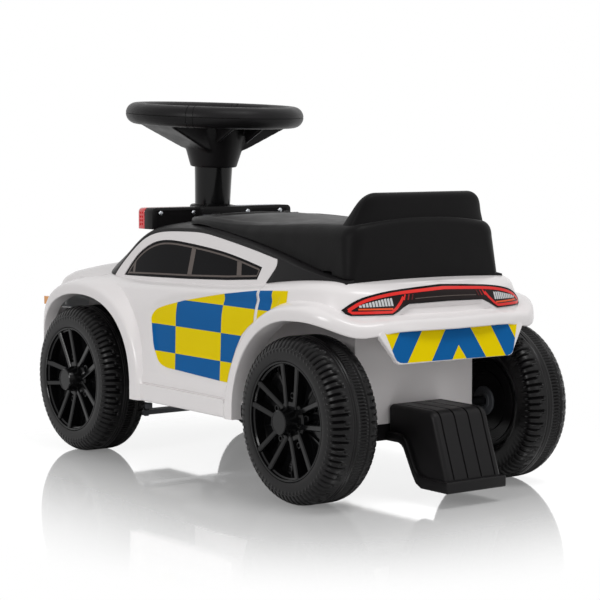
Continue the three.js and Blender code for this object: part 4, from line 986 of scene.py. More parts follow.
# %% Seat box
SEAT_REAR, SEAT_FRONT = -30.5, 266
seat_top = smooth_line([(-26, 189), (30, 187), (100, 185.5), (174, 186), (240, 185.3), (256, 184.4),
                        (263, 184.2), (266, 182.4)])
seat_edge = smooth_line([(-26, 183.5), (29, 183), (89, 180), (184, 178), (240, 180.5), (266, 181.4)])
seat_half = smooth_line([(-31, 95), (-6, 95.2), (60, 94.5), (184, 92), (236, 88), (256, 82), (263, 73),
                         (266, 64)])
skirt_low = smooth_line([(-26, 130.5), (-6, 131), (6, 134), (45, 143.5), (85, 153.5), (123, 162), (184, 170),
                         (240, 175), (263, 177.8), (266, 179.7)])
shoulder_radius = smooth_line([(-26, 15), (20, 15), (110, 11), (240, 7), (262, 2.6), (266, 1)])
panel_edge = [(257, 40), (250, 62), (225, 72), (180, 74), (120, 71), (70, 62), (36, 50), (24, 34), (22, 0)]
panel_field = panel_edge + [(x, -y) for x, y in panel_edge[-2::-1]]
LOW_CORNER, TOP_CORNER, REAR_ROUND, PANEL_DISH, PANEL_BORDER, SIDE_LEAN = 9, 17, 6, 1.8, 6, 0.05


def rounding(distance, radius):
    """How far a rounded edge has fallen back at a distance from the end."""
    left = np.clip(radius - distance, 0, radius)
    return radius - np.sqrt(radius**2 - left**2)


def seat_ring(x):
    """The seat box's cross section at x. Its rear corner grows rounder from the skirt to the shoulder."""
    half_at = lambda s: seat_half(x) - rounding(x - SEAT_REAR, LOW_CORNER + (TOP_CORNER - LOW_CORNER) * s)
    half = half_at(1)
    fall = rounding(x - SEAT_REAR, REAR_ROUND)
    low, edge, top, radius = skirt_low(x), seat_edge(x) - fall, seat_top(x) - fall, shoulder_radius(x)
    lean = SIDE_LEAN * max(edge - low, 0)
    radius = min(radius, 0.8 * (edge - low))
    share = np.linspace(0, 1, 7)[:-1]
    side = [(half_at(s) - lean * s, low + (edge - radius - low) * s) for s in share]
    turn = np.linspace(0, math.pi / 2 - 0.12, 9)
    arc = [(half - lean - radius + radius * math.cos(a), edge - radius + radius * math.sin(a)) for a in turn]
    inner, rim_z = arc[-1]
    across = inner * np.linspace(1, 0, 25)[1:]
    rise = rim_z + (top - rim_z) * (1 - (across / inner) ** 2.2)
    inside = depth_inside(np.stack([np.full_like(across, x), across], -1), panel_field)
    rise = rise - PANEL_DISH * soft_step(inside / PANEL_BORDER + 0.3)
    return whole_ring(np.array([(x, y, z) for y, z in [*side, *arc, *zip(across, rise)]]))


seat_stations = np.unique(np.concatenate([
    SEAT_REAR + TOP_CORNER * (1 - np.cos(np.linspace(0, math.pi / 2, 15))), np.arange(-2, 256, 4.0),
    np.linspace(256, SEAT_FRONT, 8)]))
seat = solid("seat_moulding", *loft([seat_ring(x) for x in seat_stations]))
print("seat box sections", len(seat_stations))

# %% Backrest hump
HUMP_FOOT, HUMP_TOP, HUMP_ROUND, HUMP_CORNER, HUMP_STEPS = 176, 213, 8, 16, 72
angle = np.linspace(0, 2 * math.pi, HUMP_STEPS, endpoint=False)
# a rounded box seen from above
hump_across = np.sign(np.sin(angle)) * np.abs(np.sin(angle)) ** 0.45
hump_along = np.sign(np.cos(angle)) * np.abs(np.cos(angle)) ** 0.55
hump_rear = smooth_line([(176, -25), (190, -26), (200, -27.5), (208, -29), (213, -30)])
hump_front = smooth_line([(176, 8), (183, 3), (190, -1), (198, -6), (206, -10.5), (213, -13)])
hump_half = smooth_line([(176, 87), (184, 83), (191, 79.5), (198, 76.5), (206, 74.5), (213, 73.5)])
hump_rings = []
for z in np.concatenate([np.linspace(HUMP_FOOT, HUMP_TOP - HUMP_ROUND, 14)[:-1],
                         HUMP_TOP - HUMP_ROUND * (1 - np.sin(np.linspace(0, math.pi / 2, 8)))]):
    inset = rounding(HUMP_TOP - z, HUMP_ROUND)
    rear, front = hump_rear(z) + inset, hump_front(z) - inset
    half = hump_half(z) - rounding(HUMP_TOP - z, HUMP_CORNER)
    hump_rings.append(np.stack([(front + rear) / 2 + hump_along * (front - rear) / 2, half * hump_across,
                                np.full(HUMP_STEPS, z)], 1))
carve(seat, solid("hump", *loft(hump_rings)), "UNION")
print("hump sections", len(hump_rings))

# %% Hollow, hinge and finger notches
SEAT_GAP, EAR_SLOT, HOLLOW_TOP = 0.6, EAR_HALF + 0.4, 176
carve(seat, roof_form("cover", -SEAT_GAP, BELOW))
carve(seat, shell_form("cover", -SEAT_GAP, BELOW))
carve(seat, prism(rectangle(-16, 190, -78, 78), "xy", BELOW, HOLLOW_TOP))
notch = [(-4, 120), (10, 120), (10, 137.5), (8.5, 139), (-2.5, 139), (-4, 137.5)]
for way in SIDES.values():
    ear_y = way * HINGE_EAR_Y
    carve(seat, prism(rectangle(256, 272, ear_y - EAR_SLOT, ear_y + EAR_SLOT), "xy", BELOW, BEYOND))
    carve(seat, on_side(notch, way, 86))
carve(seat, across_car(circle(HINGE_X, HINGE_Z, 2.4, 20)))
soften(seat, 1.0, 50)
settle(seat)
finish_piece(seat, grained_polyethylene, "seat_lid", "seat", 55)
print("seat", len(seat.data.polygons))

# %% [markdown]
# The light bar is a black housing across the roof with a thicker block in the middle where the column comes
# out. Its coloured lenses stand in front, with rows of small prisms moulded inside their faces. Four pan-head
# screws with a cross recess hold the housing: each head is turned, and the cross is cut with two bars.

# %% Light bar housing
BAR_REAR, BAR_DEPTH, BAR_HALF, BAR_LOW, BAR_TOP, BAR_MIDDLE, BAR_PROUD = 317, 16, 92, 166, 189, 32, 9


def bar_end(outer, top, radius=5):
    """The rounded upper corner and the foot of a bar's end."""
    corner = [(outer - radius + radius * math.sin(a), top - radius + radius * math.cos(a))
              for a in np.linspace(0, math.pi / 2, 8)]
    return [*corner, (outer, BAR_LOW)]


def both_ends(end):
    """A closed outline from a bar's end and its mirror image."""
    return [(-y, z) for y, z in end[::-1]] + end


COLLAR_INNER, COLLAR_OUTER, COLLAR_TOP, COLLAR_HOLE = COLUMN_HOLE, 25.1, -99, 25.7
LEDGE_INSET, LEDGE_DROP, LEDGE_DEPTH = 6, 3.4, 0.8
housing = prism(both_ends(bar_end(BAR_HALF, BAR_TOP)), "yz", BAR_REAR, BAR_REAR + BAR_DEPTH, "light_bar_moulding")
block = prism(both_ends(bar_end(BAR_MIDDLE, BAR_TOP, 3)), "yz", BAR_REAR - BAR_PROUD, BAR_REAR + 2)
carve(housing, block, "UNION")
for way in SIDES.values():
    ledge = rectangle(way * (BAR_MIDDLE + LEDGE_INSET), way * (BAR_HALF - LEDGE_INSET), BAR_LOW - 2,
                      BAR_TOP - LEDGE_DROP)
    carve(housing, prism(ledge, "yz", BAR_REAR - 1, BAR_REAR + LEDGE_DEPTH))
carve(housing, roof_form("cover", -FIT_GAP, BELOW))
carve(housing, rod(COLLAR_HOLE, -170, -60))
soften(housing, 0.9, 40)
settle(housing)
finish_piece(housing, satin_polypropylene, "body", "light_bar_housing", 40)
print("light bar", 2 * BAR_HALF, "mm wide")

# %% Lenses with prisms
LENS_REAR, LENS_DEPTH, DENT_HALF = BAR_REAR + BAR_DEPTH + FIT_GAP, 12, 1.2
for side, finish, slot in (("left", red_acrylic, "red_lens"), ("right", blue_acrylic, "blue_lens")):
    way = SIDES[side]
    end = [(BAR_MIDDLE, BAR_LOW), (BAR_MIDDLE, BAR_TOP), *bar_end(BAR_HALF, BAR_TOP)]
    lens = prism([(way * y, z) for y, z in end], "yz", LENS_REAR, LENS_REAR + LENS_DEPTH, f"{side}_lens_moulding")
    carve(lens, roof_form("cover", -FIT_GAP, BELOW))
    carve(lens, rod(COLLAR_HOLE, -170, -60))
    soften(lens, 1.3, 40, 3)
    settle(lens)
    for z in BAR_LOW + 5 + 4.1 * np.arange(4):
        for x in LENS_REAR + 4.1 + 3.9 * np.arange(2):
            dent = rectangle(x - DENT_HALF, x + DENT_HALF, z - DENT_HALF, z + DENT_HALF)
            carve(lens, prism(dent, "xz", *sorted((way * (BAR_HALF - 0.8), way * (BAR_HALF + 2)))))
        for y in way * (BAR_MIDDLE + 6 + 4.5 * np.arange(12)):
            dent = rectangle(y - 1.4, y + 1.4, z - DENT_HALF, z + DENT_HALF)
            carve(lens, prism(dent, "yz", LENS_REAR + LENS_DEPTH - 0.8, LENS_REAR + LENS_DEPTH + 2))
    finish_piece(lens, finish, "body", f"{side}_light_lens", 35)
print("lenses", 2)

# %% Screws
SCREW_RADIUS, SCREW_Z = 2.7, 183.3
screw_profile = [(0, 0.4), (SCREW_RADIUS - 0.5, 0.4), (SCREW_RADIUS, -0.1), (SCREW_RADIUS - 0.3, -0.7),
                 (SCREW_RADIUS - 1.3, -1.2), (0, -1.4)]
for number, y in enumerate((80.5, 38, -27, -78)):
    face = BAR_REAR - BAR_PROUD if abs(y) < BAR_MIDDLE else BAR_REAR + LEDGE_DEPTH
    to_face = lambda points: points[:, [2, 0, 1]] + (face, y, SCREW_Z)
    head = turned_piece(f"bar_screw_{number + 1}", screw_profile, to_face, 32)
    for wide, tall in ((1.9, 0.45), (0.45, 1.9)):
        cross = rectangle(y - wide, y + wide, SCREW_Z - tall, SCREW_Z + tall)
        carve(head, prism(cross, "yz", face - 3, face - 0.7))
    finish_piece(head, zinc_steel, "body")
print("screws", 4)

# %% [markdown]
# The steering wheel is two half shells screwed together: a round rim with a fine parting line, broad side
# spokes that sweep down into a conical hub, and a third spoke towards the driver with open ribs beneath. The
# sweep from rim to hub has no sharp edge, so the rough form is joined from simple bodies, turned into one
# skin of small even faces, smoothed as a modeller's file would, and parted at the middle of the rim.

# %% Rough form of the steering wheel
RIM_CIRCLE, RIM_TUBE, HUB_TOP, HUB_FOOT, COLUMN_TOP = 86.4, 11.65, -25, -57, -45


def spoke(profile, half_in, half_out, turn):
    """A spoke from a (reach, height) outline, widening from hub to rim, turned about the axis."""
    half = lambda reach: np.interp(reach, [25, 80], [half_in, half_out])
    rings = [[(half(reach) * share, reach, z) for reach, z in profile] for share in np.linspace(-1, 1, 13)]
    c, s = math.cos(turn), math.sin(turn)
    points, faces = loft(rings)
    return solid("spoke", points @ np.array([[c, s, 0], [-s, c, 0], [0, 0, 1]]), faces)


side_profile = [(16, -40), (28, -36.5), (50, -25.5), (70, -15.5), (79, -10.8), (86, -6), (86, 4.5), (74, 5),
                (60, 2.5), (42, 1.5), (16, 1.5)]
driver_profile = [(30, -9), (42, -9.5), (62, -6.5), (80, -4), (86, -2), (86, 5), (74, 5), (60, 2.5), (42, 1.5),
                  (30, 1.5)]
hub_profile = [(0, 3), (34, 3), (38, 0), (38, -10), (35, HUB_TOP), (25.4, HUB_FOOT), (0, HUB_FOOT)]
rough = turned_piece("rough_wheel", circle(RIM_CIRCLE, 0, RIM_TUBE, 40), steps=120)
carve(rough, turned_piece("tool", hub_profile), "UNION")
for turn in (0, math.pi):
    carve(rough, spoke(side_profile, 24, 33, turn), "UNION")
carve(rough, spoke(driver_profile, 20, 26, math.pi / 2), "UNION")
for rib_y in (19, -19):
    rib = prism([(-34, -30), (-76, -7), (-76, 0), (-34, 0)], "xz", rib_y - 2, rib_y + 2)
    carve(rough, rib, "UNION")
remesh = rough.modifiers.new("even skin", "REMESH")
remesh.mode, remesh.voxel_size = "VOXEL", 0.0013
smooth = rough.modifiers.new("file smooth", "SMOOTH")
smooth.factor, smooth.iterations = 0.5, 7
settle(rough)
print("wheel skin", len(rough.data.polygons))

# %% Half shells, grip seams and bores
SEAM_HALF, SEAM_DEPTH, SHELL_GAP, ROD_RADIUS = 0.35, 0.75, 0.15, 6.3
parting_line = rectangle(RIM_CIRCLE + RIM_TUBE - 0.6, RIM_CIRCLE + RIM_TUBE + 2.35, -SEAM_HALF, SEAM_HALF)
carve(rough, turned_piece("tool", parting_line))
for angle in np.radians([127.5, 132, 232.5, 228, 48, 52.5, 312, 307.5]):
    centre = np.array([RIM_CIRCLE * math.cos(angle), RIM_CIRCLE * math.sin(angle), 0])
    out, along = centre / RIM_CIRCLE, np.array([-math.sin(angle), math.cos(angle), 0])
    loops = []
    for radius, offset in rectangle(RIM_TUBE - SEAM_DEPTH, RIM_TUBE + 3, -SEAM_HALF, SEAM_HALF):
        loops.append([centre + along * offset + out * u + (0, 0, v) for u, v in circle(0, 0, radius, 48)])
    carve(rough, solid("tool", *loft([*loops, loops[0]], capped=False), welded=True))
column_seat = [(0, -70), (21.3, -70), (21.3, COLUMN_TOP), (ROD_RADIUS, COLUMN_TOP), (ROD_RADIUS, -33), (0, -33)]
carve(rough, turned_piece("tool", column_seat))
carve(rough, turned_piece("tool", [(0, -8), (20.3, -8), (20.3, 20), (0, 20)]))
to_world = Matrix.Translation(Vector(ORIGIN)) @ Matrix.Scale(0.001, 4)
for half, low, high in (("upper", SHELL_GAP, 40), ("lower", -90, -SHELL_GAP)):
    shell_half = carve(twin(rough, f"steering_wheel_{half}_shell"),
                       prism(rectangle(-120, 120, -120, 120), "xy", low, high), "INTERSECT")
    shell_half.data.transform(to_world @ steering_place @ to_world.inverted())
    finish_piece(shell_half, satin_polypropylene, "steering", f"steering_wheel_{half}", 40)
bpy.data.objects.remove(rough)
print("steering wheel half shells", 2)

# %% Column, collar and horn button
column = turned_piece("column_tube", [
    (ROD_RADIUS, -126), (19.5, -126), (19.5, -99), (20.2, -75), (20.9, -57.5), (20.9, COLUMN_TOP - 0.4),
    (ROD_RADIUS, COLUMN_TOP - 0.4)], on_column, 72)
finish_piece(column, gloss_abs, "steering", "steering_column")
collar = turned_piece("collar_ring", [
    (COLLAR_INNER, -140), (COLLAR_OUTER, -140), (COLLAR_OUTER, -101.5), (24.6, -100), (23.6, -99.2),
    (22, COLLAR_TOP), (20.8, -99.4), (COLLAR_INNER, -100.2)], on_column, 72)
carve(collar, roof_form("cover", -FIT_GAP, BELOW))
finish_piece(collar, satin_polypropylene, "body", "column_collar")
horn = turned_piece("horn_cap", [
    (0, -4.7), (20, -4.7), (20, 6), (19.3, 7.1), (17.6, 7.8), (12, 8.2), (0, 8.4)], on_column, 72)
finish_piece(horn, gloss_abs, "horn", "horn_button")
print("column, collar and horn", 3)

# %% [markdown]
# The tail lamp is one clear panel with inks behind it: a smoked field, a red border line, a second red line
# inside it round the lamp at each end, silver ribs and a few short slanted bars. The layout here is a plain
# one of that kind. Each ink is a film laid on the panel, so the panel's curve carries it round the corner.

# %% Tail lamp panel
LAMP_PROUD, LAMP_DEPTH, INK_PROUD = 0.6, 5, 0.3
panel = carve(shell_form("tail_lamp_panel", -LAMP_PROUD, BELOW), shell_form("lining", LAMP_DEPTH, BELOW, 3))
carve(panel, through_tail(lamp_outline(0)), "INTERSECT")
finish_piece(panel, lamp_smoke, "body", "tail_lamp", 40)
tail_runs = np.linspace(run_at(40), run_along[-1], 120)
print("tail lamp panel", len(panel.data.polygons), "faces")


def on_lamp(y, z):
    """Points on the lamp's face by sideways place and height."""
    spots = []
    for side, height in zip(np.atleast_1d(y), np.atleast_1d(z)):
        line = on_skin(tail_runs, height, LAMP_PROUD + INK_PROUD)
        run = np.interp(-abs(side), -line[:, 1], tail_runs)
        spot = on_skin(run, height, LAMP_PROUD + INK_PROUD)
        spots.append((spot[0], math.copysign(spot[1], side) if side else 0, spot[2]))
    return np.array(spots)


# %% Lamp inks
def lamp_film(name, outlines, ink):
    film(name, outlines, on_lamp, ink, 2.0)


lamp_edge = smooth_path([(0, 125.3), (45, 123.2), (71, 120.8), (92, 116.3), (103, 111.2), (110.2, 105.8)], 4)
low_side = [(110.2, 105.8), (108.4, 102.6), (105, 101.2), (65, 101.1), (60, 103.4), (53, 107.4), (46, 110.3),
            (30, 110.9), (0, 111.1)]
red_line = [(0, 122.6), (45, 120.6), (70, 118.2), (90, 113.9), (100, 109.4), (106, 105.4), (103.6, 103.2),
            (66.2, 103.1), (61, 106.2), (55, 111.5), (50.8, 116.5)]
ribs = []
for y in np.arange(63.5, 96, 3.1):
    top = np.interp(y, [63, 70, 90, 97], [115.8, 115.4, 111.6, 109.2])
    low = np.interp(y, [63, 97], [108.6, 108.0])
    ribs.append([(y, low), (y + 2.2, low), (y + 2.2, top - 0.3), (y, top)])
inks = {"red": (band(smooth_path(red_line[:6], 3), 2.7) + band(red_line[5:], 2.5), lamp_red_ink),
        "bar": (band([(98, 106.3), (64.5, 105.9)], 1.5), lamp_amber_ink),
        "outline": (band(lamp_edge, 1.0) + band(low_side, 1.0), lamp_black_ink),
        "ribs": (ribs, lamp_silver_ink)}
for number, (y, ink) in enumerate(((50, lamp_red_ink), (45.6, lamp_red_dim), (41.2, lamp_red_faint))):
    slant = [(y, 113.4), (y + 1.5, 113.4), (y - 0.9, 118.6), (y - 2.4, 118.6)]
    inks[f"slant_{number + 1}"] = ([slant], ink)
for side, way in SIDES.items():
    for part, (shapes, ink) in inks.items():
        lamp_film(f"{side}_lamp_{part}", [[(way * u, v) for u, v in shape] for shape in shapes], ink)
centre_line = [(y, 114.2 + 0.9 * (1 - (y / 38) ** 2)) for y in np.linspace(-38, 38, 20)]
lamp_film("lamp_centre_line", band(centre_line, 0.6), border_ink)
print("tail lamp inks", 2 * len(inks) + 1)

# %% [markdown]
# The print on the doors is a check of blue and yellow in four leaning columns. Each cell is cut out of the
# print's outline by the lines between columns and rows. A cell is clipped by straight lines one after
# another, which keeps every outline exact, and then laid on the dished door like a sticker.

# %% Check cells
def keep(outline, a, b):
    """The part of an outline on the left of the line from a to b."""
    outline, a, b = np.array(outline, float), np.array(a, float), np.array(b, float)
    side = lambda p: (b[0] - a[0]) * (p[1] - a[1]) - (b[1] - a[1]) * (p[0] - a[0])
    kept = []
    for p, q in zip(outline, np.roll(outline, -1, axis=0)):
        at_p, at_q = side(p), side(q)
        if at_p >= 0:
            kept.append(tuple(p))
        if at_p * at_q < 0:
            kept.append(tuple(p + (q - p) * at_p / (at_p - at_q)))
    return kept


upper_corner = smooth_path([(259.1, 71.6), (260.6, 77.2), (259, 83.4), (248, 89.1), (219, 96.1)], 3)
lower_corner = smooth_path([(209.7, 28), (222, 28.3), (232.8, 30), (240.5, 34.6), (248.3, 43.9), (255, 57),
                            (258.8, 70.6)], 3)
door_print = [*map(tuple, upper_corner), (207.8, 98.6), (170, 105), (137.2, 110), (103, 114.3), (79.6, 117),
              (77.6, 86.6), (86.7, 80.8), (96.1, 72.8), (104, 58.5), (109, 45), (112.3, 33), (113.2, 24.6),
              (126.6, 24.9), (170, 26.4), *map(tuple, lower_corner)]
wing_print = [(74.2, 117.3), (52.4, 118.6), (27.7, 119.8), (24, 106), (39, 102.9), (54.5, 98.6), (66, 92.6),
              (72.4, 88.6)]
columns_at = [((219.6, 100), (209.2, 24)), ((136.2, 110), (126.6, 24)), ((52.3, 118), (51.7, 99))]
rows_at = [200, 98.9, 71.8, 44.2, 0]
VINYLS = {"blue": blue_vinyl, "yellow": yellow_vinyl}
PRINT_PROUD = 0.5
cells = {"door": {"blue": [], "yellow": []}, "wing": {"blue": [], "yellow": []}}
for place, outline in (("door", door_print), ("wing", wing_print)):
    rest = outline
    for number in range(4):
        strip = rest
        if number < 3:
            top, low = columns_at[number]
            strip, rest = keep(rest, top, low), keep(rest, low, top)
        for row in range(4):
            cell = keep(strip, (300, rows_at[row]), (0, rows_at[row])) if len(strip) > 2 else []
            cell = keep(cell, (0, rows_at[row + 1]), (300, rows_at[row + 1])) if len(cell) > 2 else []
            if len(cell) > 2:
                cells[place]["blue" if (number + row) % 2 == 0 else "yellow"].append(cell)
for side, way in SIDES.items():
    on_door = lambda x, z: on_skin(run_at(x), z, PRINT_PROUD) * (1, way, 1)
    for place, prints in cells.items():
        for colour, vinyl in VINYLS.items():
            film(f"{side}_{place}_check_{colour}", prints[colour], on_door, vinyl, spacing=2.2)
print("check cells", {place: sum(map(len, prints.values())) for place, prints in cells.items()})

# %% [markdown]
# The sloping pad under the bumper wears chevron stripes, leaning to the middle from both sides, with a thin
# white rim left round them.

# %% Chevrons
PRINT_MIDDLE = -4.2
pad_print = [(84.6, 90.5), (74.6, 62.5), (72.6, 59.2), (69.2, 57.2), (65, 56.6), (-64, 55.4), (-68.4, 56),
             (-71.6, 58.2), (-73.6, 61.6), (-83.8, 90.5)]
# each line between two stripes by its upper and lower end, from the outside to the middle
stripe_lines = {
    "left": [((65.9, 84.5), (78.6, 67)), ((38.8, 84.5), (61.6, 55)), ((9.7, 84.5), (32, 55)),
             ((PRINT_MIDDLE, 69), (6.5, 55))],
    "right": [((-70.5, 84.5), (-79, 67)), ((-47.9, 84.5), (-62.2, 55)), ((-21.5, 84.5), (-37.2, 55)),
              ((PRINT_MIDDLE, 69), (-12.6, 55))]}
on_pad = lambda y, z: np.stack([TAIL_X + 1.85 + PAD_LEAN * (z - PAD_LOW), y, z], -1)
stripes = {colour: [] for colour in VINYLS}
for side, way in SIDES.items():
    rest = keep(pad_print, *[(PRINT_MIDDLE, 200), (PRINT_MIDDLE, 0)][::way])
    for number, line in enumerate(stripe_lines[side]):
        stripe, rest = keep(rest, *line[::way]), keep(rest, *line[::-way])
        stripes["yellow" if number % 2 == 0 else "blue"].append(stripe)
    stripes["yellow"].append(rest)
for colour, vinyl in VINYLS.items():
    film(f"chevron_{colour}", [stripe for stripe in stripes[colour] if len(stripe) > 2], on_pad, vinyl)
print("chevron stripes", {colour: len(shapes) for colour, shapes in stripes.items()})

# %% [markdown]
# A tyre of this kind is blow-moulded in one piece with its inner web. It could be lathed and its tread cut
# block by block, but the mould's pattern repeats all round, so one profile is turned in small steps and every
# point is sunk by a depth that depends on its place across the tread and on its angle. Rounded fingers lie on
# the outer shoulder over a row of small knobs, then come a fine raised line, a band of thin ribs and blocks.

# %% Tyre profile
WHEEL_Y, FINGERS = 121.0, 76
outer_shoulder = smooth_path([(57.4, 26.0), (60, 26.3), (66, 26.2), (70.6, 25.4), (74.3, 23.2), (77.1, 20.2),
                              (79, 16.4), (79.8, 12.8), (WHEEL_RADIUS, 9.2)], 1.1)
tread_rows = np.concatenate([np.arange(8.4, 5.9, -0.9), [5.8, 5.2, 4.9, 4.4, 3.9, 3.6, 3.0],
                             np.arange(2.2, -10.6, -1.0), [-10.8, -11.2, -11.6, -12.0, -12.4],
                             np.arange(-13.2, -15, -0.8)])
inner_shoulder = smooth_path([(WHEEL_RADIUS, -15), (79.5, -18), (78.2, -21.4), (76, -24.2), (73, -25.9),
                              (69, -26.4)], 1.2)
web = [(56, -25.4), (51, -24.2), (48.6, -19.6), (47.4, -18.2), (43, -18), (42.6, -19), (40, -19), (39.6, -18),
       (31, -18), (30.6, -19.4), (28, -19.4), (27.6, -18), (15.6, -18), (11.3, -18), (11.3, -11), (46, -11),
       (57.4, -11)]
tyre_profile = np.concatenate([outer_shoulder, [(WHEEL_RADIUS, y) for y in tread_rows], inner_shoulder, web])
print("tyre profile points", len(tyre_profile))

# %% Tread pattern
def tread_depth(radius, y, turn):
    """How deep the mould's pattern lies under the smooth tyre, in millimetres. The turn counts fingers."""
    pair = turn % 2
    groove = lambda at, width=0.2: np.clip(1.6 - 1.6 * np.abs((pair - at + 1) % 2 - 1) / width, 0, 1)
    between = lambda low, high: np.clip((y - low) / 0.8, 0, 1) * np.clip((high - y) / 0.8, 0, 1)
    outside = np.clip((radius - 69.4) / 1.2, 0, 1) * (y > 0)
    fingers = 1.6 * outside * np.maximum(groove(0.5) * between(9.4, 40), groove(1.5) * between(15, 40))
    crowns = 0.5 * outside * between(10, 40) * (2 * np.abs(turn % 1 - 0.5) - 1) ** 4
    hooks = 1.2 * np.maximum(between(13.6, 15.8) * ((pair > 1.45) | (pair < 0.05)),
                             between(9.4, 14.8) * groove(2, 0.16))
    line = 1.1 * (between(5, 6.2) + between(2.6, 3.8))
    ribs = 1.1 * np.clip(2.4 - 4.8 * np.abs((2 * turn) % 1 - 0.5), 0, 1) * between(-10.6, -0.2)
    ring = 1.3 * between(-12.6, -10.8)
    blocks = 1.7 * np.clip((radius - 73.4) / 1.4, 0, 1) * np.maximum.reduce([
        groove(0) * between(-40, -13.4), groove(1) * between(-40, -17.6),
        between(-17.4, -15.6) * (np.abs(pair - 1) < 0.45)])
    knobs = -0.9 * np.exp(-((radius - 67.6) ** 2 + (6.6 * (turn % 1 - 0.5)) ** 2) / 1.0) * (y > 0)
    return np.maximum.reduce([fingers, hooks, line, ribs, ring, blocks * (y < 0)]) + crowns + knobs


# %% Tyres
# The same wheel is fitted on both sides without being turned round, so the fingers lie outside on the left
# and inside on the right.
steps = 8 * FINGERS
TREAD_FROM, LARGEST_RADIUS = 57, WHEEL_RADIUS - 0.05
slope = np.gradient(tyre_profile, axis=0)
normal = np.stack([-slope[:, 1], slope[:, 0]], 1) / np.linalg.norm(slope, axis=1, keepdims=True)
tyres = {}
for way in SIDES.values():
    rings = []
    for step in range(steps):
        depth = tread_depth(tyre_profile[:, 0], way * tyre_profile[:, 1], step * FINGERS / steps)
        sunk = tyre_profile - normal * (depth * (tyre_profile[:, 0] > TREAD_FROM))[:, None]
        radius = np.minimum(sunk[:, 0], LARGEST_RADIUS)
        angle = 2 * math.pi * step / steps
        rings.append(np.stack([radius * math.cos(angle), sunk[:, 1], radius * math.sin(angle)], 1))
    tyres[way] = loft([*rings, rings[0]], capped=False)
print("tyres turned in", steps, "steps")

# %% [markdown]
# The rim is a glossy moulding: five pairs of narrow spokes run from the hub to the lip over a closed back.
# Between the spokes of a pair stands a boss like a wheel nut, and the wide windows carry fine ribs on one
# half. The spokes are lofts with small chamfers along their edges, which catch the light in the picture.

# %% Spokes and ribs of the rim
PAIRS, SPOKE_FOOT, SPOKE_FROM, SPOKE_TO = 5, 11.5, 13, 54


def radial(points, angle):
    """Turns points of (along the radius, aside, outwards) about the wheel's axle."""
    along, aside, out = np.array(points, float).T
    return np.stack([along * math.cos(angle) - aside * math.sin(angle), out,
                     along * math.sin(angle) + aside * math.cos(angle)], 1)


def spoke_tool(angle, way):
    """One spoke of a pair, a bar that widens and rises towards the lip."""
    rings = []
    for reach in (SPOKE_FROM, 19, 28, 40, SPOKE_TO):
        share = (reach - SPOKE_FROM) / (SPOKE_TO - SPOKE_FROM)
        middle, half = way * (6.4 + 5.4 * share), 2.5 + 0.4 * share
        face = 21.6 + 3.8 * share ** 1.3
        section = [(-half - 1, SPOKE_FOOT), (half + 1, SPOKE_FOOT), (half, face - 1), (half - 0.9, face),
                   (0.9 - half, face), (-half, face - 1)]
        rings.append(radial([(reach, middle + aside, out) for aside, out in section], angle))
    return solid("tool", *loft(rings))


def bar_tool(bars, angle):
    """Small bars (start, end along the radius, start, end aside, top) that stand on the rim's back."""
    points, faces = [], []
    for low, high, near, far, top in bars:
        made, sides = loft([[(r, *spot) for spot in rectangle(near, far, SPOKE_FOOT, top)] for r in (low, high)])
        faces += [tuple(i + len(points) for i in side) for side in sides]
        points += made.tolist()
    return solid("tool", radial(points, angle), faces)


# %% Rim and hub cap
boss = [(0, 12), (3.7, 12), (3.5, 18.6), (3, 19.2), (2.1, 19.2), (1.8, 17.4), (0, 17.4)]
ribs = [(r, r + 1.2, 0.9, 0.27 * r + 1.2, 13.9) for r in np.arange(27, 50, 2.5)]
rim = turned_piece("rim", [(52, 10), (57, 10), (57, 25.6), (56.5, 26.2), (55.3, 26.2), (54.8, 25.7), (54.4, 23.6),
                           (53, 22.6), (52.4, 20), (52.4, 13.2), (50.6, 12.8), (45, 12.4), (20.5, 12.4), (20, 18.6),
                           (18.4, 20.4), (6.2, 20.4), (6.2, 10)], steps=128, upright=False)
for pair in range(PAIRS):
    angle = math.pi / 2 + 2 * math.pi * pair / PAIRS
    for way in (1, -1):
        carve(rim, spoke_tool(angle, way), "UNION")
    between_spokes = lambda points: points + radial([(24.5, 0, 0)], angle)
    carve(rim, turned_piece("tool", boss, between_spokes, 20, False), "UNION")
    window = angle + math.pi / PAIRS
    carve(rim, bar_tool(ribs, window), "UNION")
    carve(rim, bar_tool([(23, 52.6, -0.8, 0.8, 14.6)], window), "UNION")
rim_points = 1000 * (np.array([v.co for v in rim.data.vertices], float) - ORIGIN)
rim_faces = [tuple(face.vertices) for face in rim.data.polygons]
bpy.data.objects.remove(rim)
hub_cap = turned([(0, 33.4), (9.8, 33.4), (10.2, 33.9), (10.8, 33.9), (11.5, 33.2), (14.1, 22.6), (14.5, 20.9),
                  (10.9, 20.9), (10.9, 30.3), (0, 30.3)], 72, False)
print("rim faces", len(rim_faces))

# %% Four wheels
ROLLS = {"front": math.radians(-16), "rear": math.radians(5.7)}


def wheel_place(corner):
    """Which side a wheel is on, and its middle."""
    end, side = corner.split("_")
    return SIDES[side], (WHEELBASE if end == "front" else 0, SIDES[side] * WHEEL_Y, 0)


for corner in CORNERS:
    way, middle = wheel_place(corner)
    roll = ROLLS[corner.split("_")[0]]
    for part, (points, faces), finish, slot, sharp in (
            ("tyre", tyres[way], wheel_polyethylene, "tyre_plastic", 50),
            ("rim", (rim_points, rim_faces), gloss_abs, "gloss_black", 30),
            ("hub_cap", hub_cap, gloss_abs, "gloss_black", 30)):
        x, y, z = points.T
        rolled = np.stack([x * math.cos(roll) - z * math.sin(roll), y,
                           x * math.sin(roll) + z * math.cos(roll)], 1)
        piece = solid(f"{corner}_{part}_moulding", rolled * (way, way, 1) + middle, faces, welded=True)
        finish_piece(piece, finish, f"{corner}_wheel", f"{corner}_{part}", sharp)
print("wheels", 4)

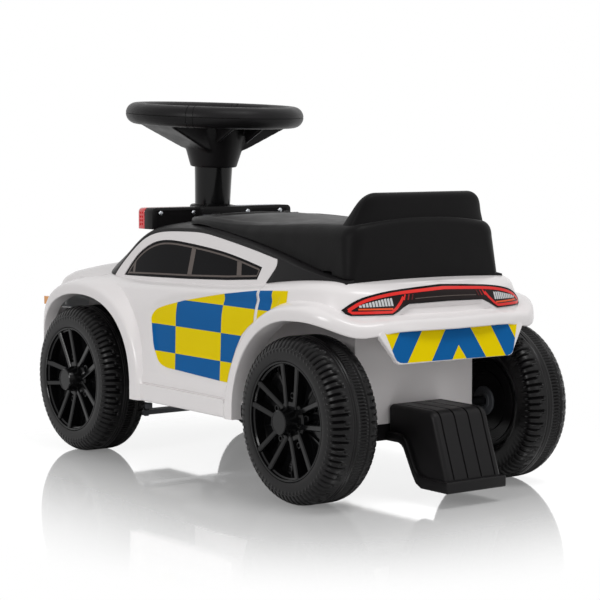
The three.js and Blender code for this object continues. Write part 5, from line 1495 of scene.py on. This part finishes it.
# %% [markdown]
# The headlamps are clear panels let into the corners of the nose. Their outer ends are amber markers with a
# small holder behind, which shows through the wheel arch. The grille is a dark insert with level bars, let
# in between them a little behind the skin.

# %% Headlamps and grille
AMBER_FROM, SKIN_INSET = 118, 0.3
for side, way in SIDES.items():
    inner = [(way * (u + (LAMP_GAP if u < 100 else -LAMP_GAP)), v + (LAMP_GAP if v < 81 else -LAMP_GAP))
             for u, v in head_lamp]
    lamp = carve(shell_form(f"{side}_headlamp_lens", SKIN_INSET, BELOW), shell_form("lining", LAMP_DEPTH, BELOW, 3))
    carve(lamp, through_nose(inner), "INTERSECT")
    marker = twin(lamp, f"{side}_amber_marker")
    carve(lamp, through_nose(rectangle(0, way * AMBER_FROM, 0, 200), 80, 40), "INTERSECT")
    carve(marker, through_nose(rectangle(way * (AMBER_FROM + FIT_GAP), way * 200, 0, 200), 80, 40), "INTERSECT")
    holder = through_nose(rectangle(way * 119, way * 124, 75, 84), 50, -26)
    carve(marker, holder, "UNION")
    finish_piece(lamp, clear_acrylic, "body", f"{side}_headlamp", 40)
    finish_piece(marker, amber_acrylic, "body", None, 40)
grille = carve(shell_form("grille_insert", 3, BELOW), shell_form("lining", 5.5, BELOW, 3))
bars = carve(shell_form("tool", 0.8, BELOW), shell_form("lining", LAMP_DEPTH, BELOW, 3))
for low in np.arange(25.5, 52, 6.5):
    carve(bars, through_nose(rectangle(-90, 90, low, low + 3.6), 60, 40))
carve(grille, bars, "UNION")
carve(grille, through_nose([(-51.2, 22.4), (51.2, 22.4), (73, 53.6), (-73, 53.6)]), "INTERSECT")
finish_piece(grille, gloss_abs, "body", "grille", 40)
print("nose panels", 5)

# %% [markdown]
# The anti-tip foot is a hollow step behind the tray, open below, with a thick rim along its lower edge and
# four grooves over its back. The step is a flat outline pushed across the car. Its side edges are rounded
# as the mould rounds them before the grooves and the hollow are cut.

# %% Step of the anti-tip foot
FOOT_HALF, FOOT_REAR, FOOT_LOW, FOOT_WALL, GROOVE_DEPTH = 34.0, -105.0, -65.5, 3.5, 1.1
foot_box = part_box("anti_tip_foot")
foot_front = 1000 * (foot_box[1][0] - ORIGIN[0])
foot_back = smooth_path([(-68, 9.2), (-74, 8.6), (-79.4, 5.6), (-82.6, -0.6), (-85, -8)], 1.6)
foot_top = [(foot_front, 9.5), *map(tuple, foot_back), (FOOT_REAR + 4, FOOT_LOW + 13)]
foot_under = [(FOOT_REAR + 4, FOOT_LOW + 2), (-66, FOOT_LOW + 2), (-55, FOOT_LOW + 8), (-40, -31), (-32, -26),
              (foot_front, -26)]
foot = prism(foot_top + foot_under, "xz", -FOOT_HALF, FOOT_HALF, "foot_moulding")
soften(foot, 5, 50, 5)
settle(foot)
groove = [(x + GROOVE_DEPTH * 0.7, z - GROOVE_DEPTH) for x, z in foot_top]
groove += [(FOOT_REAR - 9, FOOT_LOW + 13), (FOOT_REAR - 9, 30), (foot_front, 30)]
for middle in FOOT_HALF * np.array([-0.75, -0.25, 0.25, 0.75]):
    carve(foot, prism(groove, "xz", middle - 0.9, middle + 0.9))
print("foot", 2 * FOOT_HALF, "mm wide")

# %% Rim and hollow of the foot
rim_line = smooth_path([(foot_front, -17.3), (-36, -17.8), (-43, -22.4), (-49, -33), (-56, -46), (-61, -51.6),
                        (-70, -54.2), (-84, -54.6), (FOOT_REAR, -54.6)], 2.5)
rim_low = [(FOOT_REAR, FOOT_LOW), (-66, FOOT_LOW), (-58, FOOT_LOW + 4), (-52.5, FOOT_LOW + 12), (-40, -31),
           (-36, -27.4), (-32, -26), (foot_front, -26)]
foot_rim = prism([*map(tuple, rim_line), *rim_low], "xz", -FOOT_HALF - 3, FOOT_HALF + 3)
soften(foot_rim, 1.5, 50, 3)
settle(foot_rim)
carve(foot, foot_rim, "UNION")
hollow = [(foot_front - FOOT_WALL, 5.8), *[(x + FOOT_WALL, z - FOOT_WALL) for x, z in foot_back],
          (FOOT_REAR + 4 + FOOT_WALL, FOOT_LOW + 13), (FOOT_REAR + 4 + FOOT_WALL, BELOW),
          (foot_front - FOOT_WALL, BELOW)]
carve(foot, prism(hollow, "xz", -FOOT_HALF + FOOT_WALL, FOOT_HALF - FOOT_WALL))
finish_piece(foot, satin_polypropylene, "body", "anti_tip_foot", 40)
print("foot", len(foot.data.polygons))

# %% [markdown]
# The wheel bushes are turned nylon sleeves with a flange against the web. The rest of the car keeps its
# solids: the tub, the tray, the knuckles, the rods, the axle, its nuts and the hinge pin. They get their
# finish and the small radius that a mould or a deburring tool leaves on their edges.

# %% Bushes and carried-over pieces
bush_profile = [(5.6, -21.2), (8.6, -21.2), (9.2, -20.4), (13.8, -20.4), (14.8, -19.6), (14.8, -18.4),
                (11, -18.4), (11, -7.2), (5.6, -7.2)]
for corner in CORNERS:
    way, middle = wheel_place(corner)
    to_wheel = lambda points: points * (1, way, 1) + middle
    bush = turned_piece(f"{corner}_bush_sleeve", bush_profile, to_wheel, 48, False)
    finish_piece(bush, grey_nylon, f"{corner}_wheel", f"{corner}_wheel_bush")
carried = {"storage_tub": (white_polypropylene, 1.6), "chassis_tray": (satin_polypropylene, 1.2),
           "left_knuckle": (black_steel, 0.6), "right_knuckle": (black_steel, 0.6),
           "steering_rod": (black_steel, 0.5), "tie_rod": (black_steel, 0.5), "rear_axle": (black_steel, 0.5),
           "seat_hinge_pin": (black_steel, 0.3)}
carried.update({f"{corner}_axle_nut": (black_steel, 0.5) for corner in CORNERS})
for name, (finish, radius) in carried.items():
    node = frame["nodes"][name]
    node.data.materials.clear()
    node.data.materials.append(finish)
    soften(node, radius, 40)
print("carried over", len(carried))

# %% [markdown]
# The picture is a product shot: a long lens at seat height, soft light from above and behind the camera, and
# a glossy white floor that fades into a white background. The floor is a round sheet that turns clear towards
# its rim, so no horizon shows, and it keeps the car's soft shadow and the mirror image of the wheels.

# %% Camera
camera_data = bpy.data.cameras.new("camera")
camera = bpy.data.objects.new("camera", camera_data)
bpy.context.scene.collection.objects.link(camera)
bpy.context.scene.camera = camera
camera_data.sensor_width = 36
camera_data.lens = 116.5
camera.location = (-1.6638, 1.2059, 0.3471)
camera.rotation_mode = "QUATERNION"
camera.rotation_quaternion = Vector((0.8008, -0.593, -0.0846)).to_track_quat("-Z", "Y")
camera_data.clip_start, camera_data.clip_end = 0.01, 100
bpy.context.scene.view_settings.view_transform = "Standard"
print("camera lens", camera_data.lens, "mm")

# %% Lamps
def soft_lamp(name, place, aim, size, power):
    data = bpy.data.lights.new(name, "AREA")
    data.shape, data.size, data.energy = "DISK", size, power
    lamp = bpy.data.objects.new(name, data)
    bpy.context.scene.collection.objects.link(lamp)
    lamp.location = place
    lamp.rotation_mode = "QUATERNION"
    lamp.rotation_quaternion = (Vector(aim) - Vector(place)).to_track_quat("-Z", "Y")


CAR_HEART = (0, 0, 0.2)
soft_lamp("key", (-0.8, 2.4, 1.1), CAR_HEART, 0.8, 18.5)
soft_lamp("top", (-1.1, -0.2, 2.2), CAR_HEART, 1.0, 18.5)
soft_lamp("fill", (-2.0, -0.5, 0.8), CAR_HEART, 0.9, 3.0)
print("soft lamps", 3)

# %% White studio
world = bpy.data.worlds.new("white studio")
bpy.context.scene.world = world
world.use_nodes = True
sky = world.node_tree.nodes["Background"]
sky.inputs["Color"].default_value = (1, 1, 1, 1)
rays = add(world, "ShaderNodeLightPath")
seen = add(world, "ShaderNodeMath", {"operation": "MAXIMUM"},
           {0: (rays, "Is Camera Ray"), 1: (rays, "Is Glossy Ray")})
seen = add(world, "ShaderNodeMath", {"operation": "MAXIMUM"},
           {0: (seen, 0), 1: (rays, "Is Transmission Ray")})
level = add(world, "ShaderNodeMapRange", {"To Min": 0.4, "To Max": 1.0}, {"Value": (seen, 0)})
world.node_tree.links.new(level.outputs["Result"], sky.inputs["Strength"])
print("studio", world.name)

# %% Floor
FLOOR_RADIUS, FLOOR_STEPS, FOOTPRINT = 1.1, 96, (0.25, 0.12, 0)
floor_mesh = bpy.data.meshes.new("floor")
floor_mesh.from_pydata([(x, y, 0) for x, y in circle(0, 0, FLOOR_RADIUS, FLOOR_STEPS)], [],
                       [tuple(range(FLOOR_STEPS))])
floor = bpy.data.objects.new("floor", floor_mesh)
bpy.context.scene.collection.objects.link(floor)
sheet = bpy.data.materials.new("glossy white acrylic sheet")
sheet.use_nodes = True
sheet_shader = sheet.node_tree.nodes["Principled BSDF"]
for socket, value in (("Base Color", linear("#FFFFFF")), ("Roughness", 0.06), ("IOR", 2.6), ("Coat Weight", 1.0),
                      ("Coat Roughness", 0.04), ("Coat IOR", 2.6), ("Emission Color", linear("#FFFFFF"))):
    sheet_shader.inputs[socket].default_value = value
glow = add(sheet, "ShaderNodeMapRange", {"To Max": 0.32},
           {"Value": (add(sheet, "ShaderNodeLightPath"), "Is Camera Ray")})
place = add(sheet, "ShaderNodeTexCoord")
beside = add(sheet, "ShaderNodeVectorMath", {"operation": "ABSOLUTE"}, {0: (place, "Object")})
beside = add(sheet, "ShaderNodeVectorMath", {"operation": "SUBTRACT", 1: FOOTPRINT}, {0: (beside, "Vector")})
beside = add(sheet, "ShaderNodeVectorMath", {"operation": "MAXIMUM", 1: (0, 0, 0)}, {0: (beside, "Vector")})
away = add(sheet, "ShaderNodeVectorMath", {"operation": "LENGTH"}, {0: (beside, "Vector")})
fade = add(sheet, "ShaderNodeMapRange", {"From Min": 0.03, "From Max": 0.34, "To Min": 1.0, "To Max": 0.0,
                                         "interpolation_type": "SMOOTHSTEP"}, {"Value": (away, "Value")})
sheet.node_tree.links.new(glow.outputs["Result"], sheet_shader.inputs["Emission Strength"])
sheet.node_tree.links.new(fade.outputs["Result"], sheet_shader.inputs["Alpha"])
floor_mesh.materials.append(sheet)
print("floor radius", FLOOR_RADIUS, "m")
